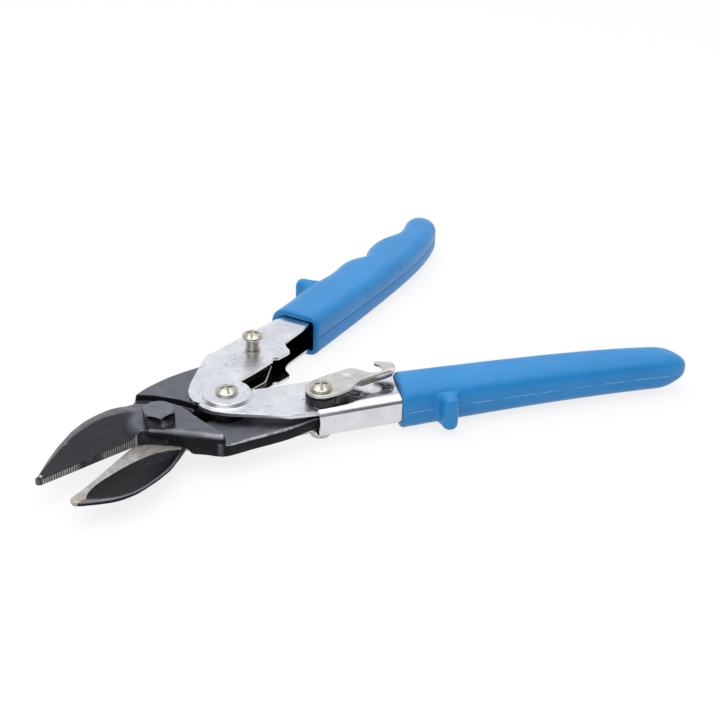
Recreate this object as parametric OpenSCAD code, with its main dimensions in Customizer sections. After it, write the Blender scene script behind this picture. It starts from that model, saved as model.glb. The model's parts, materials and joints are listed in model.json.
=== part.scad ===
// Compound-leverage sheet-metal shears (aviation snips), drawn wide open.
// Two forged jaws turn on the main pivot bolt. Each tail is pinned inside one pressed-steel handle,
// and the handles are linked by one screw, so that the pair works as a symmetric four-bar linkage.
// X runs from the blade tips (-) to the grips (+), Y across the handles, Z up.
// The origin is the centre of the underside of the pivot nut, on the main pivot axis.

/* [Linkage] */
// Main pivot to each tail pin
jaw_arm = 60.3; // [59.5:0.1:61.5]
// Link screw to each tail pin
link_arm = 35.1; // [34.5:0.1:36]
// Angle of each link arm to the centre line with the handles open
open_angle = 40.2; // [39:0.1:41]
// Turn of each handle from open to closed
handle_turn = 19; // [15:0.5:19]
// Heading of the closed blades, turned from straight ahead towards the lower handle
blade_heading = 13.3; // [12:0.1:14.5]

/* [Jaws] */
// Upper jaw thickness at the pivot
upper_jaw_h = 6.2; // [5.8:0.1:6.8]
// Lower jaw thickness at the pivot
lower_jaw_h = 5.7; // [5.2:0.1:6.2]
// Blade tip from the main pivot, upper jaw
upper_blade_l = 51; // [47:0.5:54]
// Blade tip from the main pivot, lower jaw
lower_blade_l = 50.5; // [47:0.5:53]
// Widest reach of the upper blade from the line of its heading
upper_blade_w = 21.3; // [20:0.1:22]
// Widest reach of the lower blade from the line of its heading
lower_blade_w = 16; // [15:0.1:17]
// How far the serrated edge passes the line of its heading beside the pivot
edge_lap = 2.3; // [1.8:0.1:2.8]
// The same at the tip
tip_lap = 1.3; // [0.8:0.1:1.8]
// How much further the plain edge passes it
plain_lap = 0.7; // [0:0.1:1]
// Height of the serrated edge face beside the pivot
edge_h = 3.8; // [3:0.1:4.4]
// Height of the edge face at the tip
tip_edge_h = 2.7; // [2:0.1:3.1]
// Height of the blade's ridge at the tip
tip_h = 3.2; // [2.8:0.1:4]
// Thickness of the blade's outer rim
rim_h = 2.4; // [1.8:0.1:3]
// Depth of the hollow grind under the blade
grind_depth = 0.8; // [0.4:0.1:1.2]
// Pitch of the edge serration
tooth_pitch = 0.95; // [0.8:0.05:1.3]
// Depth of the edge serration
tooth_depth = 0.3; // [0.15:0.05:0.45]
// Radius of the pivot boss
boss_r = 12.4; // [11.5:0.1:12.8]
// Pivot axis to the flat side of the boss in the throat
throat = 6.2; // [5.8:0.1:6.8]
// Thickness of the tails
tail_h = 4.9; // [4.2:0.1:5.4]
// Radius of the tails' round ends
tail_end_r = 6.3; // [5.8:0.1:6.6]

/* [Pivot bolt] */
// Hexagon head across flats
bolt_af = 11; // [10:0.5:12]
// Head height
bolt_head_h = 4.6; // [4:0.1:5.2]
// Shank diameter
bolt_d = 7; // [6:0.5:7.5]
// Nut height
nut_h = 2.9; // [2.5:0.1:3.4]
// Washer thickness
washer_h = 0.6; // [0.4:0.1:0.8]
// Washer radius
washer_r = 7.6; // [7:0.1:8.5]

/* [Handle channels] */
// Outside height of the channels across their flanges
channel_h = 12.66; // [12.2:0.02:13.2]
// Sheet thickness
sheet = 1.5; // [1.3:0.05:1.6]
// Outside radius of the channels' bends
bend_r = 2.4; // [2:0.1:2.8]
// Radius of the raised eye round the link screw
eye_r = 9; // [8.7:0.1:9.4]
// Radius of the flat eye that lies inside the raised one
inner_eye_r = 7.2; // [6.8:0.1:7.4]
// Length of the channels from the link screw
channel_l = 150; // [120:5:160]

/* [Screws and pins] */
// Shank diameter of the link screw
link_d = 6; // [5:0.1:6.5]
// Shank diameter of the tail pins
tail_pin_d = 5.2; // [4.6:0.1:5.6]
// Screw head radius
screw_head_r = 4.3; // [4:0.1:4.6]
// Screw head height
screw_head_h = 2.2; // [1.8:0.1:2.4]
// Width of the screw slots
slot_w = 1; // [0.8:0.1:1.2]
// Height of the riveted ends below the flanges
rivet_h = 1.2; // [0.8:0.1:1.3]
// Outside radius of the bush on the link screw
bush_r = 4.8; // [4.4:0.1:5]
// Radius of the spacers beside the tails
spacer_r = 5.1; // [4.6:0.1:5.6]
// Neck of the catch stud from the plate to its head
stud_neck_h = 6; // [5.8:0.1:6.6]
// Running clearance of every shaft, on the radius
run_gap = 0.05; // [0.02:0.01:0.08]
// Extra clearance of the main pivot in the lower jaw, on the radius
float_gap = 0.55; // [0.45:0.05:0.7]

/* [Latch] */
// Thickness of the latch plate
latch_t = 1.2; // [1:0.1:1.4]
// Height of the black spacers under the latch
latch_lift = 3.9; // [3.6:0.1:4]
// Radius of the latch's round front end
latch_end_r = 5.8; // [5.4:0.1:6.2]
// Depth of the latch's bent-down side
latch_side_h = 2.6; // [1.5:0.1:3]
// Clearance of the catch in the hook
hook_gap = 0.3; // [0.25:0.05:0.4]

/* [Spring] */
// Thickness of the leaf spring
spring_t = 0.8; // [0.6:0.1:0.9]
// Width of the leaf spring
spring_w = 7; // [5:0.5:8.5]

/* [Grips] */
// Thickness of the grips at their front rim
grip_h = 18.4; // [18:0.1:19.4]
// Thickness of the grips near their end
grip_end_h = 15; // [14:0.1:17]
// Front rim of the grips from the link screw
grip_start = 64.5; // [63:0.5:67]
// End of the wavy grip from the link screw
wavy_end = 187.5; // [183:0.5:192]
// End of the smooth grip from the link screw
smooth_end = 184.5; // [180:0.5:190]
// Corner radius of the grips
grip_r = 4.6; // [3.5:0.1:5.5]
// Height of the finger waves
wave_h = 1.5; // [0.8:0.1:2]
// Gap between the channel and the grip round it
grip_gap = 0.05; // [0:0.01:0.1]
// Reach of the guard lugs beyond the grips
lug_reach = 6.2; // [5:0.1:7.5]
// Guard lug of the wavy grip from its rim
wavy_lug = 29.5; // [26:0.5:33]
// Guard lug of the smooth grip from its rim
smooth_lug = 14.2; // [12:0.1:20]

/* [Hidden] */
$fn = 64;

// The linkage, from its driving sizes
closed_angle = open_angle - handle_turn;
open_swing = asin(link_arm * sin(open_angle) / jaw_arm);
closed_swing = asin(link_arm * sin(closed_angle) / jaw_arm);
jaw_turn = open_swing - closed_swing;
link_x = jaw_arm * cos(open_swing) - link_arm * cos(open_angle);
closed_link_x = jaw_arm * cos(closed_swing) - link_arm * cos(closed_angle);
closed_pin = [jaw_arm * cos(closed_swing), jaw_arm * sin(closed_swing)];
closed_span = 2 * closed_pin[1];
// Angle between a handle's axis and its link arm
arm_lead = 14.9;
handle_angle = open_angle - arm_lead;
arm_pin = [link_arm * cos(arm_lead), link_arm * sin(arm_lead)];

// Levels above and below the shear plane
mid_z = lower_jaw_h + washer_h + nut_h;
flange_top = channel_h / 2;
flange_in = flange_top - sheet;
eye_gap = 0.05;
eye_in = flange_top + eye_gap;
eye_top = eye_in + sheet;
tail_top = tail_h / 2;
latch_z = flange_top + latch_lift;
stud_head_z = flange_top + stud_neck_h;

// Radii and reaches that follow the sizes above
bolt_r = bolt_d / 2;
link_r = link_d / 2;
pin_r = tail_pin_d / 2;
step_gap = 0.8;
step_r = boss_r + step_gap;
raise_r = 20.5;
notch_r = bush_r + 1.9;
pocket_r = inner_eye_r + 0.5;

// Round arc of points about a centre
function arc(c, r, a0, a1, n) =
    [for (i = [0 : n]) c + r * [cos(a0 + (a1 - a0) * i / n), sin(a0 + (a1 - a0) * i / n)]];

function mix(a, b, t) = a + (b - a) * t;

// Skin through rings of equal length, closed by flat ends
module skin(rings) {
    n = len(rings[0]);
    m = len(rings);
    sides = [for (k = [0 : m - 2], i = [0 : n - 1], h = [0, 1])
        h == 0 ? [k * n + i, (k + 1) * n + i, k * n + (i + 1) % n]
               : [k * n + (i + 1) % n, (k + 1) * n + i, (k + 1) * n + (i + 1) % n]];
    front = [[for (i = [0 : n - 1]) i]];
    back = [[for (i = [n - 1 : -1 : 0]) (m - 1) * n + i]];
    polyhedron(points = [for (r = rings, p = r) p], faces = concat(front, sides, back), convexity = 6);
}

module slab(z0, z1) {
    translate([0, 0, z0]) linear_extrude(z1 - z0) children();
}

module disc(r, z0, z1) {
    translate([0, 0, z0]) cylinder(r = r, h = z1 - z0);
}

// ---- Jaws -------------------------------------------------------------------

// A blade's outline and section at distance u from the pivot, in blade coordinates:
// u along the heading, v away from the cutting edge, z away from the shear plane.
blade_from = -4;
function blade_v(u, w, l, shoulder, bow) =
    u < shoulder ? w - 0.62 * pow(shoulder - u, 2) / w * (shoulder < 10 ? 1.2 : 0.5)
                 : mix(w, 0.9, pow((u - shoulder) / (l - shoulder), bow));

// Ground face of a blade above the plane between the jaws
face_gap = 0.02;

function edge_v(u, l) = -mix(edge_lap, tip_lap, max(0, u) / l);

function blade_ring(u, w, l, h, shoulder, bow, set_back) =
    let (
        t = max(0, min(1, u / l)),
        ve = edge_v(u, l) + set_back + 0.9 * pow(t, 24),
        vo = blade_v(u, w, l, shoulder, bow),
        wide = vo - ve,
        land = min(0.42 * wide, 2.6 + 9 * pow(max(0, 1 - u / 24), 2)),
        rim = min(1.6, 0.2 * wide),
        dip = min(grind_depth, 0.07 * wide),
        ridge = mix(h - 0.2, tip_h, pow(t, 1.4)),
        top = min(mix(edge_h, tip_edge_h, t), ridge - 0.3),
        vr = ve + 0.6 * wide,
        low = min(rim_h, ridge - 0.6)
    )
    [
        [u, ve, face_gap],
        [u, ve + land, face_gap],
        [u, ve + land + 0.1 * wide, dip],
        [u, vo - rim - 0.08 * wide, dip],
        [u, vo - rim, face_gap],
        [u, vo, 0.3],
        [u, vo, low],
        [u, mix(vr, vo, 0.5), mix(ridge, low, 0.42)],
        [u, vr, ridge],
        [u, mix(ve, vr, 0.55), mix(top, ridge, 0.25) - 0.1 * (ridge - 2)],
        [u, ve + min(0.9, 0.2 * wide), top],
        [u, ve + 0.15, top - 0.25]
    ];

// Loft of one blade
module blade(w, l, h, shoulder, bow, set_back) {
    skin([for (i = [0 : 28]) blade_ring(mix(blade_from, l, pow(i / 28, 0.9)), w, l, h, shoulder, bow, set_back)]);
}

// Serrated strip along a cutting edge, lower towards the tip as the edge face is
teeth_from = 9;
teeth_to_tip = 3.5;
module serration(l) {
    count = floor((l - teeth_from - teeth_to_tip) / tooth_pitch);
    last = teeth_from + count * tooth_pitch;
    crests = [for (i = [0 : count - 1], h = [0, 1])
        let (u = teeth_from + (i + h / 2) * tooth_pitch) [u, edge_v(u, l) + h * tooth_depth]];
    intersection() {
        slab(face_gap / 2, edge_h) polygon(concat(crests, [[last, edge_v(last, l)], [last, edge_v(last, l) + 1],
            [teeth_from, edge_v(teeth_from, l) + 1]]));
        translate([0, 0, edge_h - 0.1]) rotate([0, atan((edge_h - tip_edge_h) / l), 0])
            translate([-5, -20, -30]) cube([l + 20, 40, 30]);
    }
}

// Plan of a tail in the closed pose, for a tail on the +Y side
function tail_plan(outer) = concat(
    outer,
    [[closed_pin[0] - 4.5, closed_pin[1] + tail_end_r - 0.5]],
    [[closed_pin[0], closed_pin[1]]],
    [[closed_pin[0], closed_pin[1] - tail_end_r]],
    [[closed_link_x + 7, 4.8], [20, 3], [9, 2]]
);

module tail(outer, z0, z1) {
    slab(z0, z1) difference() {
        union() {
            polygon(tail_plan(outer));
            translate(closed_pin) circle(tail_end_r);
        }
        translate([closed_link_x, 0]) circle(notch_r);
    }
}

module throat_cut(heading) {
    rotate(heading) translate([throat, -40]) square([60, 80]);
}

// Upper jaw in the closed pose, mirrored so that its tail lies on the +Y side
upper_outer = [[8, 12], [14.4, 18.3], [16.2, 19.9], [18.2, 20.7], [27, 20.9], [42, 20.6]];
lower_outer = [[4.6, 20.4], [5.8, 22.6], [8.2, 24.2], [11.6, 25.1], [17, 25.8], [25, 25.8], [32, 25], [41, 23]];
upper_arm = [[0, -boss_r], [10.6, -5.5], [13, 2], [17.6, 16.5], [18.2, 20.7], [16.2, 19.9], [-5.5, 3.5]];
lower_arm = [[0, -boss_r], [10.6, -5.5], [13, 2], [18.6, 17], [19.8, 25.9], [17, 25.8], [11.6, 25.1], [8.2, 24.2],
    [5.8, 22.6], [4.6, 20.4], [-6.4, 0.9]];
upper_throat = 127.7;
lower_throat = 151.3;

module jaw_body(arm, heading, h) {
    slab(0, h) difference() {
        union() {
            circle(boss_r);
            polygon(arm);
        }
        throat_cut(heading);
    }
}

module upper_jaw() {
    color("#33363a") translate([0, 0, mid_z]) rotate(-jaw_turn) difference() {
        union() {
            rotate(180 + blade_heading) mirror([0, 1, 0]) {
                blade(upper_blade_w, upper_blade_l, upper_jaw_h, 8, 1.75, tooth_depth + 0.05);
                serration(upper_blade_l);
            }
            mirror([0, 1, 0]) {
                jaw_body(upper_arm, upper_throat, upper_jaw_h);
                difference() {
                    tail(upper_outer, -tail_top, tail_top);
                    disc(step_r, -tail_top - 1, 0);
                }
            }
        }
        disc(bolt_r + run_gap, -1, upper_jaw_h + 1);
        translate([closed_pin[0], -closed_pin[1], 0]) disc(pin_r + run_gap, -tail_h, tail_h);
    }
}

module lower_jaw() {
    color("#2c2f33") translate([0, 0, mid_z]) rotate(jaw_turn) difference() {
        union() {
            rotate(180 + blade_heading) mirror([0, 0, 1])
                blade(lower_blade_w, lower_blade_l, lower_jaw_h, 14, 3, -plain_lap);
            mirror([0, 0, 1]) jaw_body(lower_arm, lower_throat, lower_jaw_h);
            difference() {
                tail(lower_outer, -tail_top, tail_top);
                disc(raise_r, 0, tail_top + 1);
            }
        }
        disc(bolt_r + float_gap, -lower_jaw_h - 1, 1);
        translate([closed_pin[0], closed_pin[1], 0]) disc(pin_r + run_gap, -tail_h, tail_h);
    }
}

// ---- Main pivot -------------------------------------------------------------

module pivot_bolt() {
    color("#26282b") translate([0, 0, mid_z]) {
        disc(bolt_r, -mid_z, upper_jaw_h + 1);
        intersection() {
            translate([0, 0, upper_jaw_h]) rotate(8)
                cylinder(r = bolt_af / 2 / cos(30), h = bolt_head_h, $fn = 6);
            translate([0, 0, upper_jaw_h])
                cylinder(r1 = bolt_af / 2 + bolt_head_h, r2 = bolt_af / 2 - 0.1, h = bolt_head_h + 0.1);
        }
    }
}

module pivot_washer() {
    color("#3a3d40") difference() {
        disc(washer_r, nut_h, nut_h + washer_h);
        disc(bolt_r + run_gap, nut_h - 1, nut_h + washer_h + 1);
    }
}

module pivot_nut() {
    color("#303336") difference() {
        rotate(8) cylinder(r = bolt_af / 2 / cos(30), h = nut_h, $fn = 6);
        disc(bolt_r + run_gap, -1, nut_h + 1);
    }
}

// ---- Handle channels --------------------------------------------------------
// Each is drawn along +X from the link screw, with its web on the +Y side.

// Place of a handle: side 1 is handle A on the +Y side, -1 is handle B
module handle_place(side) {
    translate([link_x, 0, mid_z]) rotate(side * handle_angle) mirror([0, side < 0 ? 1 : 0, 0]) children();
}

// Web lines: where each web starts, where it passes the grip's rim, and where the channel ends
a_web = [[25.6, 24.4], [grip_start, 15.9], [channel_l, 5.4]];
b_web = [[32.2, 17.6], [grip_start, 13.2], [channel_l, 1.6]];
channel_end_in = -5.5;

// Edge of handle A's flanges, from the open stop round the eye, along the open side and back
a_open_side = [[12.4, 1.8], [21.2, 0], [30.9, -1.5]];
a_tab = [[34, -2.4], [38.6, -3.6]];
a_after_tab = [[45.4, 0.5], [grip_start, 0], [channel_l, channel_end_in]];
a_front = [[-9.6, 6.5], [-9.5, 8.6], [-7.6, 11.5], [-4.4, 14.2], [0.8, 16.6], [14.4, 21.2]];
// Edge of handle B's flanges
b_open_side = [[7.6, -2.4], [16.8, -2.9], [24.7, -3.8], [30.7, -4.6], [grip_start, -3.8], [channel_l, channel_end_in - 2.5]];
b_front = [[-7.6, 2.5], [-10.6, 3.5], [-10.9, 5], [-9.8, 7.1], [-6.6, 10.1], [-0.6, 12.7], [10.2, 15.4], [20.8, 18.2]];

module flange_a() {
    difference() {
        union() {
            circle(inner_eye_r);
            polygon(concat([[0, 0]], a_open_side, a_tab, arc([41.9, -4.6], 3.4, 162, 70, 8), a_after_tab,
                [a_web[2], a_web[1], a_web[0]], [[a_web[0][0] - 1.5, a_web[0][1] + 0.1]],
                [for (i = [len(a_front) - 1 : -1 : 0]) a_front[i]]));
        }
        translate([32.5, -2.4]) circle(1.4);
        circle(link_r + run_gap);
        translate(arm_pin) circle(pin_r + run_gap);
    }
}

module flange_b() {
    difference() {
        polygon(concat(b_open_side, [b_web[2], b_web[1], b_web[0]],
            [for (i = [len(b_front) - 1 : -1 : 0]) b_front[i]]));
        circle(pocket_r);
        translate(arm_pin) circle(pin_r + run_gap);
    }
}

// Unit normal of a run, towards the channel's open side
function inward(p, q) = [q[1] - p[1], p[0] - q[0]] / norm(q - p);

// The web line moved towards the open side
function inset(line, d) =
    let (
        n = inward(line[0], line[1]),
        m = inward(line[1], line[2])
    )
    [line[0] + d * n, line[1] + d * (n + m) / (1 + n * m), line[2] + d * m];

// How far the bend's arc stands out of the faces it runs into
bend_ease = 0.02;

// Solid of the flat outline with both edges along the web's visible run rounded, from `lead` ahead of it
module bent(line, half, r, lead) {
    run = norm(line[1] - line[0]) + lead + 0.6;
    difference() {
        slab(-half, half) children();
        translate(line[0]) rotate(atan2(line[1][1] - line[0][1], line[1][0] - line[0][0]))
            for (s = [-1, 1])
                translate([-lead, 0, 0]) rotate([90, 0, 90]) linear_extrude(run) difference() {
                    translate([-r, s > 0 ? half - r : -half - 1]) square([r + 1, r + 1]);
                    translate([bend_ease - r, s * (half - r + bend_ease)]) circle(r);
                }
    }
}

// Pressed channel: the bent outline less the space between its flanges
module channel(line) {
    inner = inset(line, sheet);
    front = line[0] - 9 * inward(line[0], line[1]);
    difference() {
        bent(line, flange_top, bend_r, 2) children();
        bent(inner, flange_in, bend_r - sheet, -0.5)
            polygon([front, inner[0], inner[1], inner[2], [channel_l + 9, inner[2][1]],
                [channel_l + 9, -30], [-40, -30], [-40, 40]]);
    }
}

module handle_a_channel() {
    color("#c9ccd1") handle_place(1) channel(a_web) flange_a();
}

// Raised eye: a disc over handle A's eye, joined to the flange by a sloping step
module raised_eye() {
    disc(eye_r, eye_in, eye_top);
    difference() {
        rotate_extrude() polygon([
            [pocket_r, flange_in], [eye_r + 1.1, flange_in], [eye_r + 1.1, flange_top - 0.2],
            [eye_r, eye_top], [pocket_r, eye_top]
        ]);
        slab(flange_in - 1, eye_top + 1) eye_mask();
    }
}

// Everything outside the sector that handle B's flange covers round the eye
module eye_mask() {
    far = 30;
    polygon(concat([[0, 0]], [for (a = [-17.5, -60, -110, -160, -197.5]) far * [cos(a), sin(a)]]));
}

module handle_b_channel() {
    color("#c9ccd1") handle_place(-1) {
        difference() {
            union() {
                channel(b_web) flange_b();
                raised_eye();
                mirror([0, 0, 1]) raised_eye();
            }
            disc(link_r + run_gap, -eye_top - 1, eye_top + 1);
        }
    }
}

// ---- Grips ------------------------------------------------------------------

// Edges of grip A (with finger waves) and grip B (smooth), across the handle at distance u
function grip_t(u, end) = (u - grip_start) / (end - grip_start);
function cap(u, end) = let (c = max(0, (u - (end - 13)) / 13)) sqrt(max(0.0004, 1 - c * c));
function bulge(u, at, wide) = exp(-pow((u - at) / wide, 2));

function a_outer(u) = 18.4 - 11.5 * grip_t(u, wavy_end - 3) + 0.8 * bulge(u, 90, 12)
    + wave_h * (bulge(u, 121, 9.5) + bulge(u, 149, 8.5) - 2 * bulge(u, 132, 5.5) - bulge(u, 163, 8))
    + 2.6 * bulge(u, 184, 12);
function a_inner(u) = let (t = grip_t(u, wavy_end)) -3.5 - 6.3 * sin(96 * min(1, t * 1.05)) + 5.5 * pow(t, 6);
function b_outer(u) = let (t = grip_t(u, smooth_end)) 14.4 - 14 * t + 4.6 * pow(t, 2.6);
function b_inner(u) = let (t = grip_t(u, smooth_end)) -4.6 - 6 * sin(100 * min(1, t * 1.15)) + 3 * pow(t, 8);
function grip_half(t) = mix(grip_h, grip_end_h, sin(90 * t)) / 2;

// Rounded section between two edges, with corners of radius r
function grip_ring(u, end, vo, vi, half, r) =
    let (
        c = (vo + vi) / 2,
        w = (vo - vi) / 2 * cap(u, end),
        h = half * mix(1, cap(u, end), 0.9),
        q = min(r, 0.95 * min(w, h))
    )
    [for (k = [0 : 3], i = [0 : 5])
        let (
            a = 90 * k + 18 * i,
            sx = (k == 0 || k == 3) ? 1 : -1,
            sz = k < 2 ? 1 : -1
        )
        [u, c + sx * (w - q) + q * cos(a), sz * (h - q) + q * sin(a)]];

module grip_shell(side) {
    n = 44;
    end = side > 0 ? wavy_end : smooth_end;
    us = [for (i = [0 : n]) mix(grip_start, end - 0.02, 1 - pow(1 - i / n, 1.35))];
    skin([for (u = us)
        grip_ring(u, end, side > 0 ? a_outer(u) : b_outer(u), side > 0 ? a_inner(u) : b_inner(u),
            grip_half(grip_t(u, end)), grip_r)]);
}

// Guard lug that stands out from the outer side of each grip
lug_w = 6.5;
lug_half = 7;
module lug(from, edge) {
    translate([grip_start + from, edge - 3, 0]) slab(-lug_half, lug_half) hull() {
        translate([-1.5, 0]) square([lug_w + 3, 1]);
        translate([lug_w / 2, lug_reach]) circle(lug_w / 2, $fn = 28);
    }
}

// Pocket that holds the channel
module grip_pocket(line, inner) {
    slab(-flange_top - grip_gap, flange_top + grip_gap)
        polygon([[grip_start - 2, inner], line[1] + [-2, grip_gap + 0.3], line[1] + [0, grip_gap + 0.02],
            line[2] + [0.3, grip_gap], [channel_l + 0.3, channel_end_in - 0.1 - (inner < -1 ? 2.5 : 0)]]);
}

module grip_a() {
    color("#2d86d0") handle_place(1) difference() {
        union() {
            grip_shell(1);
            lug(wavy_lug, a_outer(grip_start + wavy_lug));
        }
        grip_pocket(a_web, -0.1);
    }
}

module grip_b() {
    color("#2d86d0") handle_place(-1) difference() {
        union() {
            grip_shell(-1);
            lug(smooth_lug, b_outer(grip_start + smooth_lug));
        }
        grip_pocket(b_web, -3.95);
    }
}

// ---- Link screw -------------------------------------------------------------

// Round head with a combined slot and cross recess; its seat is at z = 0
module screw_head(r, h, turn) {
    dome_r = 1.74 * r;
    difference() {
        intersection() {
            disc(r, 0, h);
            translate([0, 0, h - dome_r]) sphere(dome_r);
        }
        rotate(turn) for (a = [0, 90])
            rotate(a) translate([-r * (a == 0 ? 1 : 0.55), -slot_w / 2, h - 1])
                cube([2 * r * (a == 0 ? 1 : 0.55), slot_w, 2]);
    }
}

module link_screw() {
    color("#b9b3a6") translate([link_x, 0, mid_z]) {
        disc(link_r, -eye_top - rivet_h + 0.1, eye_top + 0.5);
        translate([0, 0, eye_top]) screw_head(screw_head_r, screw_head_h, 70);
    }
}

module link_bush() {
    color("#6b6e70") translate([link_x, 0, mid_z]) difference() {
        disc(bush_r, -flange_in + eye_gap, flange_in - eye_gap);
        disc(link_r + run_gap, -flange_top, flange_top);
    }
}

module link_rivet() {
    color("#b9b3a6") translate([link_x, 0, mid_z]) difference() {
        disc(screw_head_r, -eye_top - rivet_h, -eye_top);
        disc(link_r + run_gap, -eye_top - rivet_h - 1, -eye_top + 1);
    }
}

// ---- Catch stud on handle A -------------------------------------------------

module catch_stud() {
    color("#b9b3a6") handle_place(1) translate(arm_pin) {
        disc(pin_r, -flange_top - rivet_h + 0.1, stud_head_z + 0.5);
        disc(pin_r + 0.5, flange_top, flange_top + 0.7);
        translate([0, 0, stud_head_z]) screw_head(screw_head_r - 0.2, screw_head_h, 25);
    }
}

module pin_rivet() {
    difference() {
        disc(screw_head_r - 0.4, -flange_top - rivet_h, -flange_top);
        disc(pin_r + run_gap, -flange_top - rivet_h - 1, -flange_top + 1);
    }
}

module tail_spacer(z0, z1) {
    difference() {
        disc(spacer_r, z0, z1);
        disc(pin_r + run_gap, z0 - 1, z1 + 1);
    }
}

module catch_rivet() {
    color("#b9b3a6") handle_place(1) translate(arm_pin) pin_rivet();
}

module tail_spacer_a_top() {
    color("#55585a") handle_place(1) translate(arm_pin) tail_spacer(tail_top, flange_in);
}

module tail_spacer_a_bottom() {
    color("#55585a") handle_place(1) translate(arm_pin) tail_spacer(-flange_in, -tail_top);
}

// ---- Latch on handle B ------------------------------------------------------

// Place of the latch pivot, with X running towards the hook when the latch lies back
module latch_place() {
    translate([link_x, 0, mid_z]) rotate(-open_angle) translate([link_arm, 0, 0]) rotate(open_angle) children();
}

module latch_screw() {
    color("#b9b3a6") latch_place() {
        disc(pin_r, -flange_top - rivet_h + 0.1, latch_z + latch_t + 0.5);
        translate([0, 0, latch_z + latch_t]) screw_head(screw_head_r, screw_head_h, 60);
    }
}

module latch_rivet() {
    color("#b9b3a6") latch_place() pin_rivet();
}

module tail_spacer_b_top() {
    color("#55585a") latch_place() tail_spacer(tail_top, flange_in);
}

module tail_spacer_b_bottom() {
    color("#55585a") latch_place() tail_spacer(-flange_in, -tail_top);
}

module latch_spacer() {
    color("#1b1c1e") latch_place() difference() {
        disc(latch_end_r, flange_top, flange_top + latch_lift * 0.7);
        disc(pin_r + run_gap, flange_top - 1, latch_z + 1);
    }
}

module latch_washer() {
    color("#1b1c1e") latch_place() difference() {
        disc(latch_end_r - 0.4, flange_top + latch_lift * 0.7, latch_z);
        disc(pin_r + run_gap, flange_top - 1, latch_z + 1);
    }
}

// Hook centre: where the stud lies when the handles are locked shut
hook_x = closed_span;
hook_r = pin_r + hook_gap;

module latch_plan() {
    difference() {
        union() {
            circle(latch_end_r);
            polygon([[0, latch_end_r], [9, 6], [14, 6.3], [17, 6.1], [19.6, 4.4], [hook_x - hook_r - 0.4, -2.2],
                [hook_x, -4.4], [hook_x + hook_r, -1], [hook_x + hook_r - 0.6, 3.3], [hook_x + hook_r + 1, 3.6],
                [hook_x + 8.4, -0.6], [hook_x + 2.2, -7.4], [13, -5.6], [9.8, -6], [0, -latch_end_r]]);
        }
        translate([hook_x, 0]) circle(hook_r);
        circle(pin_r + run_gap);
    }
}

module latch_lever() {
    color("#bdbab4") latch_place() {
        difference() {
            slab(latch_z, latch_z + latch_t) latch_plan();
            translate([12.4, -0.2, latch_z + latch_t + 5.6]) sphere(6);
        }
        slab(latch_z - latch_side_h, latch_z + latch_t)
            polygon([[13, -5.6], [hook_x + 1.4, -7.25], [hook_x + 1.4, -7.25 + latch_t], [13, -5.6 + latch_t]]);
    }
}

// ---- Return spring ----------------------------------------------------------

// V-shaped leaf spring: a loop round the bush with one leg towards each tail
leg_angle = open_angle * 0.49;
leg_l = link_arm * 0.89;
module return_spring() {
    loop_r = bush_r + 0.2;
    color("#7a6f52") translate([link_x, 0, mid_z]) {
        difference() {
            disc(loop_r + spring_t, -spring_w / 2, spring_w / 2);
            disc(loop_r, -spring_w, spring_w);
            slab(-spring_w, spring_w) polygon([[0, 0], [20, 20 * tan(leg_angle)], [20, -20 * tan(leg_angle)]]);
        }
        for (s = [-1, 1])
            rotate(s * leg_angle) translate([0, s > 0 ? loop_r : -loop_r - spring_t, -spring_w / 2])
                cube([leg_l, spring_t, spring_w]);
    }
}

upper_jaw();
lower_jaw();
pivot_bolt();
pivot_washer();
pivot_nut();
handle_a_channel();
handle_b_channel();
grip_a();
grip_b();
link_screw();
link_bush();
link_rivet();
catch_stud();
catch_rivet();
tail_spacer_a_top();
tail_spacer_a_bottom();
latch_screw();
latch_rivet();
tail_spacer_b_top();
tail_spacer_b_bottom();
latch_spacer();
latch_washer();
latch_lever();
return_spring();
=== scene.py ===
"""Visual model of compound-leverage sheet-metal shears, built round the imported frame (metres, Z up)."""
import json
import math

import bmesh
import bpy
import numpy as np
from mathutils import Matrix, Vector
from mathutils.geometry import delaunay_2d_cdt

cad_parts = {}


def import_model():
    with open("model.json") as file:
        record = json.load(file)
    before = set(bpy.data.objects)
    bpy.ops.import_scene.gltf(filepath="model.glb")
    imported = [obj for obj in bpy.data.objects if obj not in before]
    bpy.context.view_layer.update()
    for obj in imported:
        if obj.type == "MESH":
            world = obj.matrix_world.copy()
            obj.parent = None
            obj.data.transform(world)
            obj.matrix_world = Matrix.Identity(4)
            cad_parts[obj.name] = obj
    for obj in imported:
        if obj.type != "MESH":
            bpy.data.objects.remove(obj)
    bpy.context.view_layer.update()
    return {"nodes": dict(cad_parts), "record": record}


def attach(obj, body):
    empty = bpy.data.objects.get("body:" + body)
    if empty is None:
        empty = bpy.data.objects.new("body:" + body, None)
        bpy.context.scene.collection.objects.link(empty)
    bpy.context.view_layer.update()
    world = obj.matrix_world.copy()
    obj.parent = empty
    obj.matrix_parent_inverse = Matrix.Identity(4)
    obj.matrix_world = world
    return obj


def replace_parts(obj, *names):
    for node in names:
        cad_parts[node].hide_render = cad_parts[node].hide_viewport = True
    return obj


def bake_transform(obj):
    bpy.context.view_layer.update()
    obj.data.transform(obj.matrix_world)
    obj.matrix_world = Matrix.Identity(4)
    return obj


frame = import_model()
MM = 0.001
NODES = frame["nodes"]
scene = bpy.context.scene

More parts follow.
